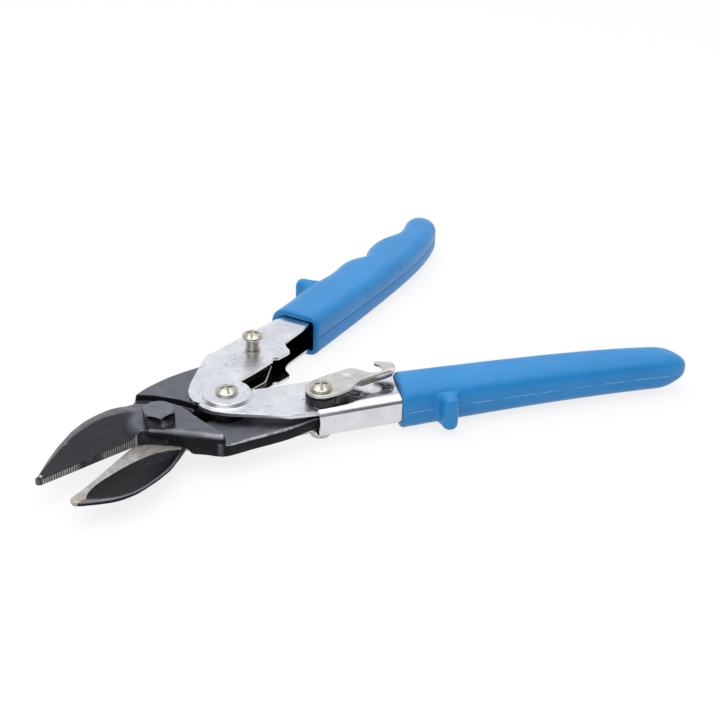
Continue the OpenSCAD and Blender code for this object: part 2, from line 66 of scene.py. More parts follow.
# Linkage, in millimetres, as in the part's source
JAW_ARM, LINK_ARM = 60.3, 35.1
OPEN_ANGLE, HANDLE_TURN, BLADE_HEADING = 40.2, 19.0, 13.3
OPEN_SWING = math.degrees(math.asin(LINK_ARM * math.sin(math.radians(OPEN_ANGLE)) / JAW_ARM))
CLOSED_ANGLE = OPEN_ANGLE - HANDLE_TURN
CLOSED_SWING = math.degrees(math.asin(LINK_ARM * math.sin(math.radians(CLOSED_ANGLE)) / JAW_ARM))
JAW_TURN = OPEN_SWING - CLOSED_SWING
LINK_X = JAW_ARM * math.cos(math.radians(OPEN_SWING)) - LINK_ARM * math.cos(math.radians(OPEN_ANGLE))
MID_Z = 9.2
ARM_LEAD = 14.9


# ---- Materials ----------------------------------------------------------------

class Mat:
    """A node material with short helpers; texture space is the object's own metres."""

    def __init__(self, name):
        self.mat = bpy.data.materials.new(name)
        self.mat.use_nodes = True
        self.nt = self.mat.node_tree
        self.bsdf = self.nt.nodes["Principled BSDF"]
        self.coord = self.nt.nodes.new("ShaderNodeTexCoord")

    def link(self, a, b):
        self.nt.links.new(a, b)

    def set(self, **values):
        for key, value in values.items():
            self.bsdf.inputs[key.replace("_", " ")].default_value = value

    def vec(self, scale=(1, 1, 1), turn=0.0, source="Object"):
        m = self.nt.nodes.new("ShaderNodeMapping")
        m.inputs["Scale"].default_value = scale
        m.inputs["Rotation"].default_value = (0, 0, turn)
        self.link(self.coord.outputs[source], m.inputs["Vector"])
        return m.outputs["Vector"]

    def noise(self, scale, detail=3.0, rough=0.5, vec=None, distort=0.0):
        n = self.nt.nodes.new("ShaderNodeTexNoise")
        n.inputs["Scale"].default_value = scale
        n.inputs["Detail"].default_value = detail
        n.inputs["Roughness"].default_value = rough
        n.inputs["Distortion"].default_value = distort
        self.link(vec or self.coord.outputs["Object"], n.inputs["Vector"])
        return n.outputs["Fac"]

    def mark(self, name):
        """A value painted on the mesh's points."""
        n = self.nt.nodes.new("ShaderNodeAttribute")
        n.attribute_name = name
        return n.outputs["Fac"]

    def ramp(self, fac, low, high, a=0.0, b=1.0):
        n = self.nt.nodes.new("ShaderNodeMapRange")
        for key, value in (("From Min", low), ("From Max", high), ("To Min", a), ("To Max", b)):
            n.inputs[key].default_value = value
        self.link(fac, n.inputs["Value"])
        return n.outputs["Result"]

    def math(self, op, a, b=None, c=None):
        n = self.nt.nodes.new("ShaderNodeMath")
        n.operation = op
        for i, value in enumerate((a, b, c)):
            if value is None:
                continue
            if isinstance(value, (int, float)):
                n.inputs[i].default_value = value
            else:
                self.link(value, n.inputs[i])
        return n.outputs[0]

    def mix(self, fac, a, b):
        n = self.nt.nodes.new("ShaderNodeMix")
        n.data_type = "RGBA"
        for socket, value in ((n.inputs["Factor"], fac), (n.inputs[6], a), (n.inputs[7], b)):
            if isinstance(value, tuple):
                socket.default_value = (*value, 1.0)
            elif isinstance(value, (int, float)):
                socket.default_value = value
            else:
                self.link(value, socket)
        return n.outputs[2]

    def axis(self, source, which):
        n = self.nt.nodes.new("ShaderNodeSeparateXYZ")
        self.link(self.coord.outputs[source], n.inputs[0])
        return n.outputs[which]

    def bump(self, height, strength, distance):
        n = self.nt.nodes.new("ShaderNodeBump")
        n.inputs["Strength"].default_value = strength
        n.inputs["Distance"].default_value = distance
        self.link(height, n.inputs["Height"])
        last = self.bsdf.inputs["Normal"]
        if last.is_linked:
            self.link(last.links[0].from_socket, n.inputs["Normal"])
        self.link(n.outputs["Normal"], last)

    def colour(self, socket):
        self.link(socket, self.bsdf.inputs["Base Color"])

    def rough(self, socket):
        self.link(socket, self.bsdf.inputs["Roughness"])

    def pointy(self, low, high):
        g = self.nt.nodes.new("ShaderNodeNewGeometry")
        return self.ramp(g.outputs["Pointiness"], low, high)


def zinc_material():
    """Zinc plate: pitted on the flats, polished towards the grips, with painted shade on its upright faces and inside
    the channels.
    """
    m = Mat("zinc_plate")
    m.set(Metallic=1.0)
    flat = m.ramp(m.math("ABSOLUTE", m.axis("Normal", 2)), 0.9, 0.98)
    away = m.math("SQRT", m.math("ADD", m.math("POWER", m.math("SUBTRACT", m.axis("Object", 0), LINK_X * MM), 2.0),
                                 m.math("POWER", m.axis("Object", 1), 2.0)))
    plain = m.ramp(away, 0.036, 0.048, 1.0, 0.0)
    cloud = m.noise(90, 4, 0.6)
    fine = m.noise(1500, 2, 0.6)
    pits = m.ramp(m.noise(620, 4, 0.7, distort=0.5), 0.57, 0.64)
    pits = m.math("MULTIPLY", pits, m.ramp(m.noise(130, 3), 0.42, 0.60, 0.10, 1.0))
    pits = m.math("MULTIPLY", m.math("MULTIPLY", pits, flat), m.ramp(plain, 0, 1, 0.35, 1.0))
    base = m.mix(m.ramp(cloud, 0.3, 0.7), (0.66, 0.675, 0.71), (0.82, 0.835, 0.86))
    base = m.mix(m.math("MULTIPLY", pits, 0.75), base, (0.14, 0.14, 0.155))
    # Painted shade: faces that are not level are toned towards grey.
    base = m.mix(m.ramp(flat, 0, 1, 0.16, 0.0), base, (0.3, 0.3, 0.31))
    # Painted shade: the channels' inside, marked on the mesh, is painted near black.
    base = m.mix(m.ramp(m.mark("inside"), 0.3, 0.7), base, (0.045, 0.045, 0.05))
    m.colour(base)
    streak = m.noise(260, 3, 0.5, vec=m.vec((1.0, 1.0, 9.0)))
    m.rough(m.math("ADD", m.ramp(plain, 0, 1, 0.13, 0.28),
                   m.ramp(streak, 0.3, 0.7, -0.02, 0.06)))
    m.bump(fine, 0.12, 0.0001)
    m.bump(m.math("MULTIPLY", pits, -1.0), 0.5, 0.0002)
    return m.mat


def black_material(name, flat_tone=0.15, dull_tone=1.0, shine=0.12, attribute=False):
    """Black oxide: level faces carry a painted grey sheen, the rest is dull black."""
    m = Mat(name)
    m.set(Specular_IOR_Level=shine)
    # Painted sheen: level faces are painted grey and made more metallic than the rest.
    flat = m.ramp(m.math("ABSOLUTE", m.axis("Normal", 2)), 0.45, 0.97)
    cloud = m.noise(120, 5, 0.65)
    dull = m.mix(m.ramp(cloud, 0.35, 0.7), tuple(dull_tone * c for c in (0.007, 0.0074, 0.009)),
                 tuple(dull_tone * c for c in (0.017, 0.0178, 0.021)))
    shiny = m.mix(m.ramp(m.noise(260, 4, 0.6), 0.3, 0.7), (flat_tone * 0.82, flat_tone * 0.86, flat_tone * 0.98),
                  (flat_tone * 1.1, flat_tone * 1.15, flat_tone * 1.3))
    if attribute:
        # The hollow mark keeps this painted sheen off the blades' dishes.
        flat = m.math("MULTIPLY", flat, m.math("SUBTRACT", 1.0, m.mark("hollow")))
    body = m.mix(flat, dull, shiny)
    specks = m.math("MULTIPLY", m.ramp(m.noise(1300, 3, 0.7), 0.63, 0.72),
                    m.ramp(m.noise(140, 3), 0.40, 0.60, 0.1, 1.0))
    body = m.mix(m.math("MULTIPLY", specks, 0.6), body, (0.17, 0.17, 0.18))
    # Paler edges picked by pointiness: partly worn metal, partly a painted highlight.
    wear_and_glint = m.math("MULTIPLY", m.pointy(0.53, 0.60), m.ramp(m.noise(350, 4, 0.6), 0.35, 0.6, 0.2, 0.9))
    body = m.mix(wear_and_glint, body, (0.22, 0.225, 0.24))
    m.colour(body)
    m.link(m.ramp(flat, 0, 1, 0.25, 0.95), m.bsdf.inputs["Metallic"])
    m.rough(m.math("ADD", m.ramp(m.noise(300, 4, 0.6), 0.3, 0.7, 0.26, 0.40), m.ramp(flat, 0, 1, 0.02, 0.0)))
    m.bump(m.noise(900, 3, 0.6), 0.30, 0.00016)
    m.bump(m.noise(190, 3, 0.55), 0.30, 0.0005)
    return m


def jaw_material():
    """Black oxide with a ground land, a little rust on it, and a painted highlight along the tails' rims."""
    m = black_material("jaw_black", attribute=True)
    share = m.ramp(m.mark("ground"), 0.35, 0.65)
    body = m.bsdf.inputs["Base Color"].links[0].from_socket
    grain = m.noise(420, 4, 0.6)
    steel = m.mix(m.ramp(grain, 0.35, 0.65), (0.32, 0.315, 0.305), (0.50, 0.495, 0.48))
    rust = m.math("MULTIPLY", m.ramp(m.noise(170, 4, 0.65, distort=0.6), 0.50, 0.66), 0.75)
    steel = m.mix(rust, steel, (0.38, 0.29, 0.19))
    upright = m.math("ABSOLUTE", m.axis("Normal", 2))
    # Painted highlight: the tails' rounded rims, picked by their slope, are painted pale grey.
    rim = m.math("MULTIPLY", m.ramp(upright, 0.50, 0.72), m.ramp(upright, 0.86, 0.96, 1.0, 0.0))
    rim = m.math("MULTIPLY", rim, m.ramp(m.axis("Object", 0), 0.006, 0.014))
    rim = m.math("MULTIPLY", rim, m.ramp(m.noise(330, 4, 0.7), 0.36, 0.58, 0.2, 1.0))
    body = m.mix(rim, body, (0.40, 0.41, 0.44))
    m.colour(m.mix(share, body, steel))
    metal = m.bsdf.inputs["Metallic"].links[0].from_socket
    black = m.math("MULTIPLY", metal, m.math("SUBTRACT", 1.0, share))
    m.link(m.math("MAXIMUM", black, m.math("MULTIPLY", share, 0.45)), m.bsdf.inputs["Metallic"])
    return m.mat


def grip_material():
    """Dipped vinyl; along the parting line a painted highlight lies on one grip's flash ridge and painted shade in the
    other grip's groove, and the socket inside each grip's mouth is painted dark as shade.
    """
    m = Mat("blue_grip")
    m.set(IOR=1.5, Specular_IOR_Level=0.38)
    cloud = m.noise(55, 3, 0.5)
    body = m.mix(m.ramp(cloud, 0.3, 0.7), (0.010, 0.200, 0.49), (0.015, 0.228, 0.55))
    seam = m.mark("seam")
    broken = m.ramp(m.noise(160, 3, 0.7), 0.42, 0.58, 0.15, 0.75)
    # Painted highlight along grip B's flash ridge.
    body = m.mix(m.math("MULTIPLY", m.ramp(seam, 0.1, 0.8), broken), body, (0.38, 0.60, 0.80))
    # Painted shade in grip A's seam groove.
    body = m.mix(m.ramp(seam, -0.1, -0.8, 0.0, 0.6), body, (0.002, 0.085, 0.30))
    # Painted shade: the socket inside the grip's mouth is painted near black.
    body = m.mix(m.ramp(seam, -1.5, -2.8, 0.0, 1.0), body, (0.003, 0.006, 0.014))
    m.colour(body)
    m.rough(m.ramp(m.noise(200, 3, 0.6), 0.3, 0.7, 0.30, 0.42))
    m.bump(m.noise(420, 2, 0.5), 0.08, 0.0001)
    m.bump(m.noise(70, 2, 0.5), 0.14, 0.0006)
    return m.mat


def metal_material(name, dark, light, rough, pit=0.0, metallic=1.0):
    m = Mat(name)
    m.set(Metallic=metallic)
    body = m.mix(m.ramp(m.noise(200, 4, 0.6), 0.3, 0.7), dark, light)
    if pit:
        specks = m.ramp(m.noise(1200, 3, 0.65), 0.60, 0.70)
        body = m.mix(m.math("MULTIPLY", specks, pit), body, (0.10, 0.09, 0.08))
    m.colour(body)
    m.rough(m.ramp(m.noise(400, 3, 0.6), 0.3, 0.7, *rough))
    m.bump(m.noise(1100, 3, 0.6), 0.08, 0.0001)
    return m.mat


def spring_material():
    """Spring strip with painted shade on its faces and a painted highlight on its edges."""
    m = Mat("spring_bronze")
    m.set(IOR=1.5, Specular_IOR_Level=0.12)
    # Painted highlight on the strip's edges; painted shade, near black, on its faces.
    edge_glint = m.ramp(m.mark("edge"), 0.5, 0.95)
    body = m.mix(m.ramp(m.noise(200, 4, 0.6), 0.3, 0.7), (0.007, 0.006, 0.0045), (0.024, 0.020, 0.013))
    m.colour(m.mix(edge_glint, body, (0.66, 0.62, 0.54)))
    m.link(edge_glint, m.bsdf.inputs["Metallic"])
    m.rough(m.ramp(m.noise(400, 3, 0.6), 0.3, 0.7, 0.24, 0.36))
    m.bump(m.noise(1100, 3, 0.6), 0.08, 0.0001)
    return m.mat


def latch_material():
    """Nickel plate with a few pits, and painted shade on its underside."""
    m = Mat("latch_nickel")
    m.set(Metallic=1.0)
    body = m.mix(m.ramp(m.noise(200, 4, 0.6), 0.3, 0.7), (0.55, 0.53, 0.50), (0.70, 0.68, 0.65))
    specks = m.ramp(m.noise(1200, 3, 0.65), 0.60, 0.70)
    body = m.mix(m.math("MULTIPLY", specks, 0.4), body, (0.10, 0.09, 0.08))
    # Painted shade: faces turned downwards are painted near black.
    body = m.mix(m.ramp(m.axis("Normal", 2), -0.6, -0.8, 0.0, 1.0), body, (0.02, 0.02, 0.02))
    m.colour(body)
    m.rough(m.ramp(m.noise(400, 3, 0.6), 0.3, 0.7, 0.26, 0.38))
    m.bump(m.noise(1100, 3, 0.6), 0.08, 0.0001)
    return m.mat


MATS = {
    "jaw_steel": jaw_material(),
    # The bolt carries the painted sheen on its level faces, with its other faces toned darker.
    "black_bolt": black_material("bolt_black", flat_tone=0.19, dull_tone=0.25, shine=0.03).mat,
    "zinc_plate": zinc_material(),
    "blue_grip": grip_material(),
    "nickel_screw": metal_material("screw_nickel", (0.40, 0.375, 0.32), (0.60, 0.57, 0.51), (0.14, 0.24), 0.4),
    "latch_nickel": latch_material(),
    "black_spacer": metal_material("spacer_black", (0.012, 0.012, 0.013), (0.03, 0.03, 0.032), (0.22, 0.34), 0.0,
                                   0.4),
    # The latch's nickel painted darker: painted shade on its folded-down flange.
    "latch_side": metal_material("latch_side", (0.17, 0.165, 0.155), (0.34, 0.33, 0.31), (0.30, 0.42), 0.35),
    "spring_steel": spring_material(),
    "plain_steel": metal_material("spacer_steel", (0.03, 0.03, 0.032), (0.07, 0.07, 0.073), (0.22, 0.34), 0.0),
}
BODY_OF = {n: b for b, ns in frame["record"]["behaviour"]["bodies"].items() for n in ns}
SLOT_OF = {s["node"]: s["material_slot"] for s in frame["record"]["subparts"]}


# ---- Pieces -------------------------------------------------------------------

def added(name, data):
    ob = bpy.data.objects.new(name, data)
    scene.collection.objects.link(ob)
    return ob


def put(name, mesh, node, replaces=(), mat=None):
    """Adds a piece that rides with its node's body and takes that node's finish."""
    ob = added(name, mesh)
    mesh.materials.clear()
    mesh.materials.append(mat or MATS[SLOT_OF[node]])
    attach(ob, BODY_OF[node])
    if replaces:
        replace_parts(ob, *replaces)
    return ob


def outward(mesh):
    """Turns every face outward."""
    bm = bmesh.new()
    bm.from_mesh(mesh)
    bmesh.ops.recalc_face_normals(bm, faces=bm.faces)
    bm.to_mesh(mesh)
    bm.free()


def tube_faces(first, size, count):
    """Faces of a closed tube of rings of points, with both ends capped."""
    faces = [(first + k * size + i, first + k * size + (i + 1) % size,
              first + (k + 1) * size + (i + 1) % size, first + (k + 1) * size + i)
             for k in range(count - 1) for i in range(size)]
    last = first + (count - 1) * size
    return faces + [tuple(first + i for i in range(size)), tuple(last + i for i in reversed(range(size)))]


def solid(name, verts, faces, sharp_deg, marks=()):
    """A mesh with its faces outward, smooth up to the angle, carrying values on its points."""
    mesh = bpy.data.meshes.new(name)
    mesh.from_pydata(verts, [], faces)
    outward(mesh)
    for kind, values in marks:
        mesh.attributes.new(kind, "FLOAT", "POINT").data.foreach_set("value", values)
    mesh.shade_smooth()
    mesh.set_sharp_from_angle(angle=math.radians(sharp_deg))
    return mesh


def corners(w, h, q_right, q_left, steps):
    """Arcs round the four corners of a box, one list of points each."""
    for k in range(4):
        sx, sz = (1, 1, -1, -1)[k], (1, -1, -1, 1)[k]
        q = q_left if sx < 0 else q_right
        start = 90 - 90 * k
        turns = [math.radians(start - 90 * i / steps) for i in range(steps + 1)]
        yield sx, sz, q, [(sx * (w - q) + q * math.cos(a), sz * (h - q) + q * math.sin(a)) for a in turns]


def clean_copy(node, flat_deg=0.4):
    """The node's mesh as one welded skin, with flat areas joined."""
    bm = bmesh.new()
    bm.from_mesh(NODES[node].data)
    bmesh.ops.remove_doubles(bm, verts=bm.verts, dist=2e-6)
    bmesh.ops.dissolve_limit(bm, angle_limit=math.radians(flat_deg), verts=bm.verts, edges=bm.edges)
    bmesh.ops.recalc_face_normals(bm, faces=bm.faces)
    mesh = bpy.data.meshes.new(node + "_skin")
    bm.to_mesh(mesh)
    bm.free()
    return mesh


def dressed(node, name, width, segments=2, angle=32, reshape=None):
    """The node's own shape with its sheared and turned edges broken."""
    mesh = clean_copy(node)
    if reshape:
        reshape(mesh)
    mesh.shade_smooth()
    ob = put(name, mesh, node, replaces=(node,))
    bev = ob.modifiers.new("edge", "BEVEL")
    bev.width = width * MM
    bev.segments = segments
    bev.limit_method = "WEIGHT" if "bevel_weight_edge" in mesh.attributes else "ANGLE"
    bev.angle_limit = math.radians(angle)
    bev.use_clamp_overlap = bev.limit_method == "ANGLE"
    bev.harden_normals = True
    even = ob.modifiers.new("even", "WEIGHTED_NORMAL")
    even.keep_sharp = True
    return ob


# ---- Jaws ---------------------------------------------------------------------
# Both jaws are drawn in blade coordinates: u from the pivot along the closed heading, v away from the
# cutting edge, z away from the shear plane. A jaw is a plan outline with a height above and below each point.

def mixed(a, b, t):
    return a + (b - a) * t


def eased(x):
    x = np.clip(x, 0.0, 1.0)
    return x * x * (3 - 2 * x)


def along(x, table):
    xs, ys = zip(*sorted(table))
    return np.interp(x, xs, ys)


def soft_min(a, b, k):
    h = np.clip(0.5 + 0.5 * (b - a) / k, 0, 1)
    return mixed(b, a, h) - k * h * (1 - h)


def smooth_loop(keys, step):
    """Closed curve through the keys; a key with a third value is a corner."""
    n = len(keys)
    out = []
    for i in range(n):
        p0, p1, p2, p3 = (np.array(keys[(i + k) % n][:2], float) for k in (-1, 0, 1, 2))
        if len(keys[i]) > 2:
            p0 = 2 * p1 - p2
        if len(keys[(i + 1) % n]) > 2:
            p3 = 2 * p2 - p1
        length = np.linalg.norm(p2 - p1)
        d1 = (p2 - p0) / max(np.linalg.norm(p2 - p0), 1e-6) * length
        d2 = (p3 - p1) / max(np.linalg.norm(p3 - p1), 1e-6) * length
        count = max(1, round(length / step))
        for k in range(count):
            t = k / count
            out.append((2 * t**3 - 3 * t**2 + 1) * p1 + (t**3 - 2 * t**2 + t) * d1
                       + (3 * t**2 - 2 * t**3) * p2 + (t**3 - t**2) * d2)
    return np.array(out)


def reach(points, line, closed=False):
    """Distance of each point from a polyline."""
    a = line
    b = np.roll(line, -1, axis=0)
    if not closed:
        a, b = a[:-1], b[:-1]
    best = np.full(len(points), 1e9)
    for p, q in zip(a, b):
        d = q - p
        t = np.clip(((points - p) @ d) / max(d @ d, 1e-12), 0, 1)
        best = np.minimum(best, np.linalg.norm(points - (p + t[:, None] * d), axis=1))
    return best


def within(points, loop):
    x, y = points[:, 0], points[:, 1]
    hit = np.zeros(len(points), bool)
    for p, q in zip(loop, np.roll(loop, -1, axis=0)):
        if p[1] == q[1]:
            continue
        cross = (p[1] > y) != (q[1] > y)
        hit ^= cross & (x < (q[0] - p[0]) * (y - p[1]) / (q[1] - p[1]) + p[0])
    return hit


def rounded(d, r):
    """Drop of a rounded edge at distance d from the outline."""
    s = np.clip(1 - d / np.maximum(r, 1e-3), 0, 1)
    return r * (1 - np.sqrt(1 - s * s))


RINGS = (0.05, 0.16, 0.35, 0.65, 1.05, 1.6)
OUTLINE_STEP, GRID_STEP = 0.475, 0.75


def plan_mesh(name, keys, holes, features, above, below, marks, teeth, place):
    loop = smooth_loop(keys, OUTLINE_STEP)
    area = 0.5 * np.sum(loop[:, 0] * np.roll(loop[:, 1], -1) - np.roll(loop[:, 0], -1) * loop[:, 1])
    if area < 0:
        loop = loop[::-1]
    tangent = np.roll(loop, -1, axis=0) - np.roll(loop, 1, axis=0)
    tangent /= np.linalg.norm(tangent, axis=1)[:, None]
    inward = np.stack([-tangent[:, 1], tangent[:, 0]], axis=1)
    edge = loop + inward * teeth(loop)[:, None]
    sets = []
    for r in RINGS:
        ring = loop + inward * r
        sets.append(ring[(reach(ring, loop, True) > 0.97 * r) & within(ring, loop)])
    lo, hi = loop.min(axis=0), loop.max(axis=0)
    gx, gy = np.meshgrid(np.arange(lo[0], hi[0], GRID_STEP), np.arange(lo[1], hi[1], GRID_STEP * 0.87))
    gx[::2] += GRID_STEP / 2
    grid = np.stack([gx.ravel(), gy.ravel()], axis=1)
    keep = within(grid, loop)
    grid = grid[keep]
    grid = grid[reach(grid, loop, True) > RINGS[-1] + 0.4]
    for line in features:
        grid = grid[reach(grid, line) > 0.5]
    sets.append(grid)
    for line in features:
        t = np.gradient(line, axis=0)
        t /= np.linalg.norm(t, axis=1)[:, None]
        n = np.stack([-t[:, 1], t[:, 0]], axis=1)
        for side in (-0.35, -0.1, 0.1, 0.35):
            pts = line + n * side
            sets.append(pts[within(pts, loop) & (reach(pts, loop, True) > 0.3)])
    for centre, radius in holes:
        sets = [s[np.linalg.norm(s - centre, axis=1) > radius + 0.2] for s in sets]
    inner = np.concatenate(sets)
    coords = [Vector(p) for p in edge]
    links = [(i, (i + 1) % len(edge)) for i in range(len(edge))]
    for centre, radius in holes:
        first = len(coords)
        count = 40
        for k in range(count):
            a = 2 * math.pi * k / count
            coords.append(Vector((centre[0] + radius * math.cos(a), centre[1] + radius * math.sin(a))))
            links.append((first + k, first + (k + 1) % count))
    coords += [Vector(p) for p in inner]
    verts, _, faces, *_ = delaunay_2d_cdt(coords, links, [], 0, 1e-6)
    p = np.array([tuple(v) for v in verts])
    mid = np.array([(p[list(f)]).mean(axis=0) for f in faces])
    inside = within(mid, edge)
    for centre, radius in holes:
        inside &= np.linalg.norm(mid - centre, axis=1) > radius * 0.995
    faces = [f for f, ok in zip(faces, inside) if ok]
    used = sorted({i for f in faces for i in f})
    index = {v: i for i, v in enumerate(used)}
    p = p[used]
    faces = [tuple(index[i] for i in f) for f in faces]
    d = np.where(within(p, loop) & (reach(p, edge, True) > 1e-4), reach(p, loop, True), 0.0)
    top, low = above(p[:, 0], p[:, 1], d), below(p[:, 0], p[:, 1], d)
    top = np.maximum(top, low + 0.25)
    n = len(p)
    xyz = [place(u, v, z) for (u, v), z in zip(p, top)] + [place(u, v, z) for (u, v), z in zip(p, low)]
    polys = list(faces) + [tuple(i + n for i in reversed(f)) for f in faces]
    sides = {}
    for f in faces:
        for a, b in zip(f, f[1:] + f[:1]):
            sides[(a, b)] = True
    for a, b in sides:
        if (b, a) not in sides:
            polys.append((b, a, a + n, b + n))
    values = [(kind, np.concatenate(rule(p[:, 0], p[:, 1], d)).astype(np.float32)) for kind, rule in marks.items()]
    return solid(name, xyz, polys, 38, values)


def jaw_place(side):
    """Blade coordinates to the rest pose; side is 1 for the upper jaw and -1 for the lower."""
    heading = math.radians(180 + BLADE_HEADING)
    swing = math.radians(-side * JAW_TURN)
    ch, sh, cs, ss = math.cos(heading), math.sin(heading), math.cos(swing), math.sin(swing)

    def place(u, v, z):
        x, y = u * ch + side * v * sh, u * sh - side * v * ch
        return ((x * cs - y * ss) * MM, (x * ss + y * cs) * MM, (MID_Z + side * z) * MM)
    return place


TAIL_TOP = 2.45
UPPER_H, LOWER_H = 6.2, 5.7
FACE_GAP = 0.03
TOOTH_MIDDLE = -1.55
UPPER_PIN, LOWER_PIN = np.array((-54.45, -25.91)), np.array((-60.29, 1.21))
UPPER_PLAN = [
    (50.9, 0.1), (50.5, -1.0), (49.2, -1.6), (44, -1.75), (36, -1.7), (29, -1.6), (22, -1.6), (15, -1.6),
    (10.8, -1.6, 1), (8.6, -2.3), (6.3, -3.9), (3.0, -7.3), (0.0, -10.9), (-3.2, -15.1), (-7.1, -19.3),
    (-9.0, -21.8), (-11.6, -24.2), (-15.4, -25.4), (-21.3, -26.5), (-36.1, -29.6), (-48.4, -30.5),
    (-52.8, -32.0), (-57.6, -31.4), (-60.4, -28.1), (-60.4, -23.8), (-58.1, -20.7), (-55.9, -19.9), (-44, -16.2),
    (-29.4, -11.7, 1), (-27, -12.6), (-23.1, -12.3), (-20.2, -10.2), (-19, -7.7, 1), (-12.1, -5.4, 1),
    (-12.2, -1.5), (-11.7, 3), (-10.4, 6.8), (-8.4, 9.7), (-5.4, 11.6), (-2.2, 12.8), (-0.1, 15.0), (1.6, 17.5),
    (4, 19.8), (7.5, 21.2), (12.1, 21.7), (18.5, 21.0), (26, 18.3), (34.8, 13.0), (41.5, 8.2), (46.5, 4.1),
    (49.9, 1.2)]
UPPER_OUTER = [(0, 15.2), *UPPER_PLAN[-10:-1], (50, 1.0), (51, 0.3)]
UPPER_RIDGE = [(49.6, 0.1), (46.4, 2.1), (42, 4.6), (36.1, 8.1), (28.2, 11.9), (19.8, 13.9), (14, 13.9), (9.6, 12.6)]
NEAR_WALL = np.array(UPPER_PLAN[10:17])
UPPER_STEP = [(-26, -9.9), (-24.1, -11.3), (-22, -12.9), (-19.5, -13.3), (-15, -12.6), (-8.2, -12.1), (-4, -12.4)]
LOWER_PLAN = [
    (49.2, 0.9), (49.2, -0.6), (48.2, -1.9), (42, -1.8), (33.5, -2.1), (25, -2.5), (17.3, -2.95), (13.7, -3.1),
    (9, -3.05), (5.7, -3.0, 1), (-8.2, -18.3), (-9.3, -19.8), (-11.0, -20.9), (-13.6, -21.5), (-17.2, -21.65),
    (-22.5, -21.0), (-30.2, -19.2), (-36.8, -16.8), (-45.1, -12.8), (-56.9, -5.6), (-60.3, -5.0), (-64.3, -3.5),
    (-66.5, 0.1), (-65.7, 4.4), (-62.9, 6.8), (-59.2, 7.3), (-46, 5.1), (-31.4, 2.8, 1), (-29.9, 0.95), (-26.1, -0.7),
    (-22.3, 0.1), (-20.4, 1.6, 1), (-13.2, 1.2), (-11.8, 4.0), (-9.3, 8.1), (-6, 10.8), (-2, 12.2), (3.6, 13.3),
    (8.4, 14.7), (16, 16.2), (24.5, 16.2), (32.5, 15.0), (37.7, 12.8), (41.4, 10.2), (44.6, 7.1), (46.8, 4.6),
    (48.4, 2.7)]
LOWER_OUTER = [*LOWER_PLAN[-11:], (49.2, 0.9)]
LOWER_LAND = [(45.6, 2.6), (43, 1.2), (39.8, 0.5), (35.8, 0.35), (29.2, 1.1), (22.1, 2.3), (16.3, 3.9), (10.8, 6.2),
              (6.9, 9.1), (4.3, 12.2)]
LOWER_RIM = [(45.6, 2.6), (43.4, 6.0), (39.4, 10.4), (35.6, 12.9), (31.3, 14.5), (24, 15.4), (15.8, 15.4), (8.4, 13.9),
             (4.3, 12.2)]
LOWER_STEP = [(-22, -25.3), (-12.3, -22.0), (1.05, -13.1), (9, -13.1)]
LOWER_RAISE = [(-21.5, -14.2), (-20.5, -14.7), (-14.85, -17.7), (-10.5, -18.8), (-6.6, -19.8), (-3, -20.3),
               (9, -20.5)]


def dense(keys, step=0.45):
    """Open curve through the keys, in even steps."""
    pts = smooth_loop([(*keys[0], 1)] + list(keys[1:-1]) + [(*keys[-1], 1)], step)
    last = np.argmin(np.linalg.norm(pts - np.array(keys[-1]), axis=1))
    return pts[:last + 1]


RIDGE_LINE, LAND_LINE, RIM_LINE = dense(UPPER_RIDGE), dense(LOWER_LAND), dense(LOWER_RIM)
HOLLOW = np.concatenate([LAND_LINE, RIM_LINE[::-1]])


def blade_height(u, v, edge_v, outer, ridge_v, edge_z, ridge_z, rim_z, hollow):
    """Outer face of a blade: a dish from the edge up to the ridge, then a bevel down to the rim."""
    vo = np.maximum(along(u, outer), edge_v + 0.8)
    vr = np.clip(ridge_v, edge_v + 0.3, vo - 0.25)
    inner = np.clip((v - edge_v) / (vr - edge_v), 0, 1)
    far = np.clip((v - vr) / (vo - vr), 0, 1)
    return np.where(v < vr, mixed(edge_z, ridge_z, inner ** hollow), mixed(ridge_z, rim_z, far ** 1.25))


def upper_above(u, v, d):
    rho = np.hypot(u, v)
    t = np.clip(u / 50, 0, 1)
    ridge_v = along(u, UPPER_RIDGE + [(0, 9.0)])
    z = blade_height(u, v, -1.6, UPPER_OUTER, ridge_v, mixed(3.7, 2.3, t),
                     6.15 - 3.35 * np.clip((u - 6) / 44, 0, 1) ** 1.2,
                     along(u, [(0, 4.6), (4, 3.6), (12, 2.8), (30, 2.0), (50, 1.3)]), 1.9)
    boss = np.maximum(eased((14.0 - rho) / 6.0), eased((3.0 - u) / 5.0))
    z = mixed(z, UPPER_H, boss)
    dn = reach(np.stack([u, v], axis=1), NEAR_WALL)
    lip = along(u, [(8, 4.1), (3, 4.1), (0, 3.7), (-3.2, 3.1), (-7.1, 2.7), (-11.6, TAIL_TOP)])
    draft = np.sqrt(1 - (1 - np.clip(dn / 2.9, 0, 1)) ** 2)
    z = np.where(u < 9, soft_min(z, lip + (UPPER_H - lip) * draft, 0.3), z)
    line = along(v, UPPER_STEP)
    z = mixed(TAIL_TOP, z, eased((u - line + 1.1) / 1.5))
    radius = np.where(u > 1, np.where(v > 0, 0.55, 0.14), mixed(0.9, 1.6, eased((-16 - u) / 4)))
    radius = np.where((dn < 2) & (u < 9), 0.3, radius)
    return z - rounded(d, radius)


def upper_below(u, v, d):
    rho = np.hypot(u, v)
    z = FACE_GAP - (TAIL_TOP + FACE_GAP) * eased((rho - 13.4) / 2.6) * (u < 3)
    radius = np.where(u > 2, np.where(v > 0, 0.4, 0.03), 0.8)
    return z + rounded(d, radius)


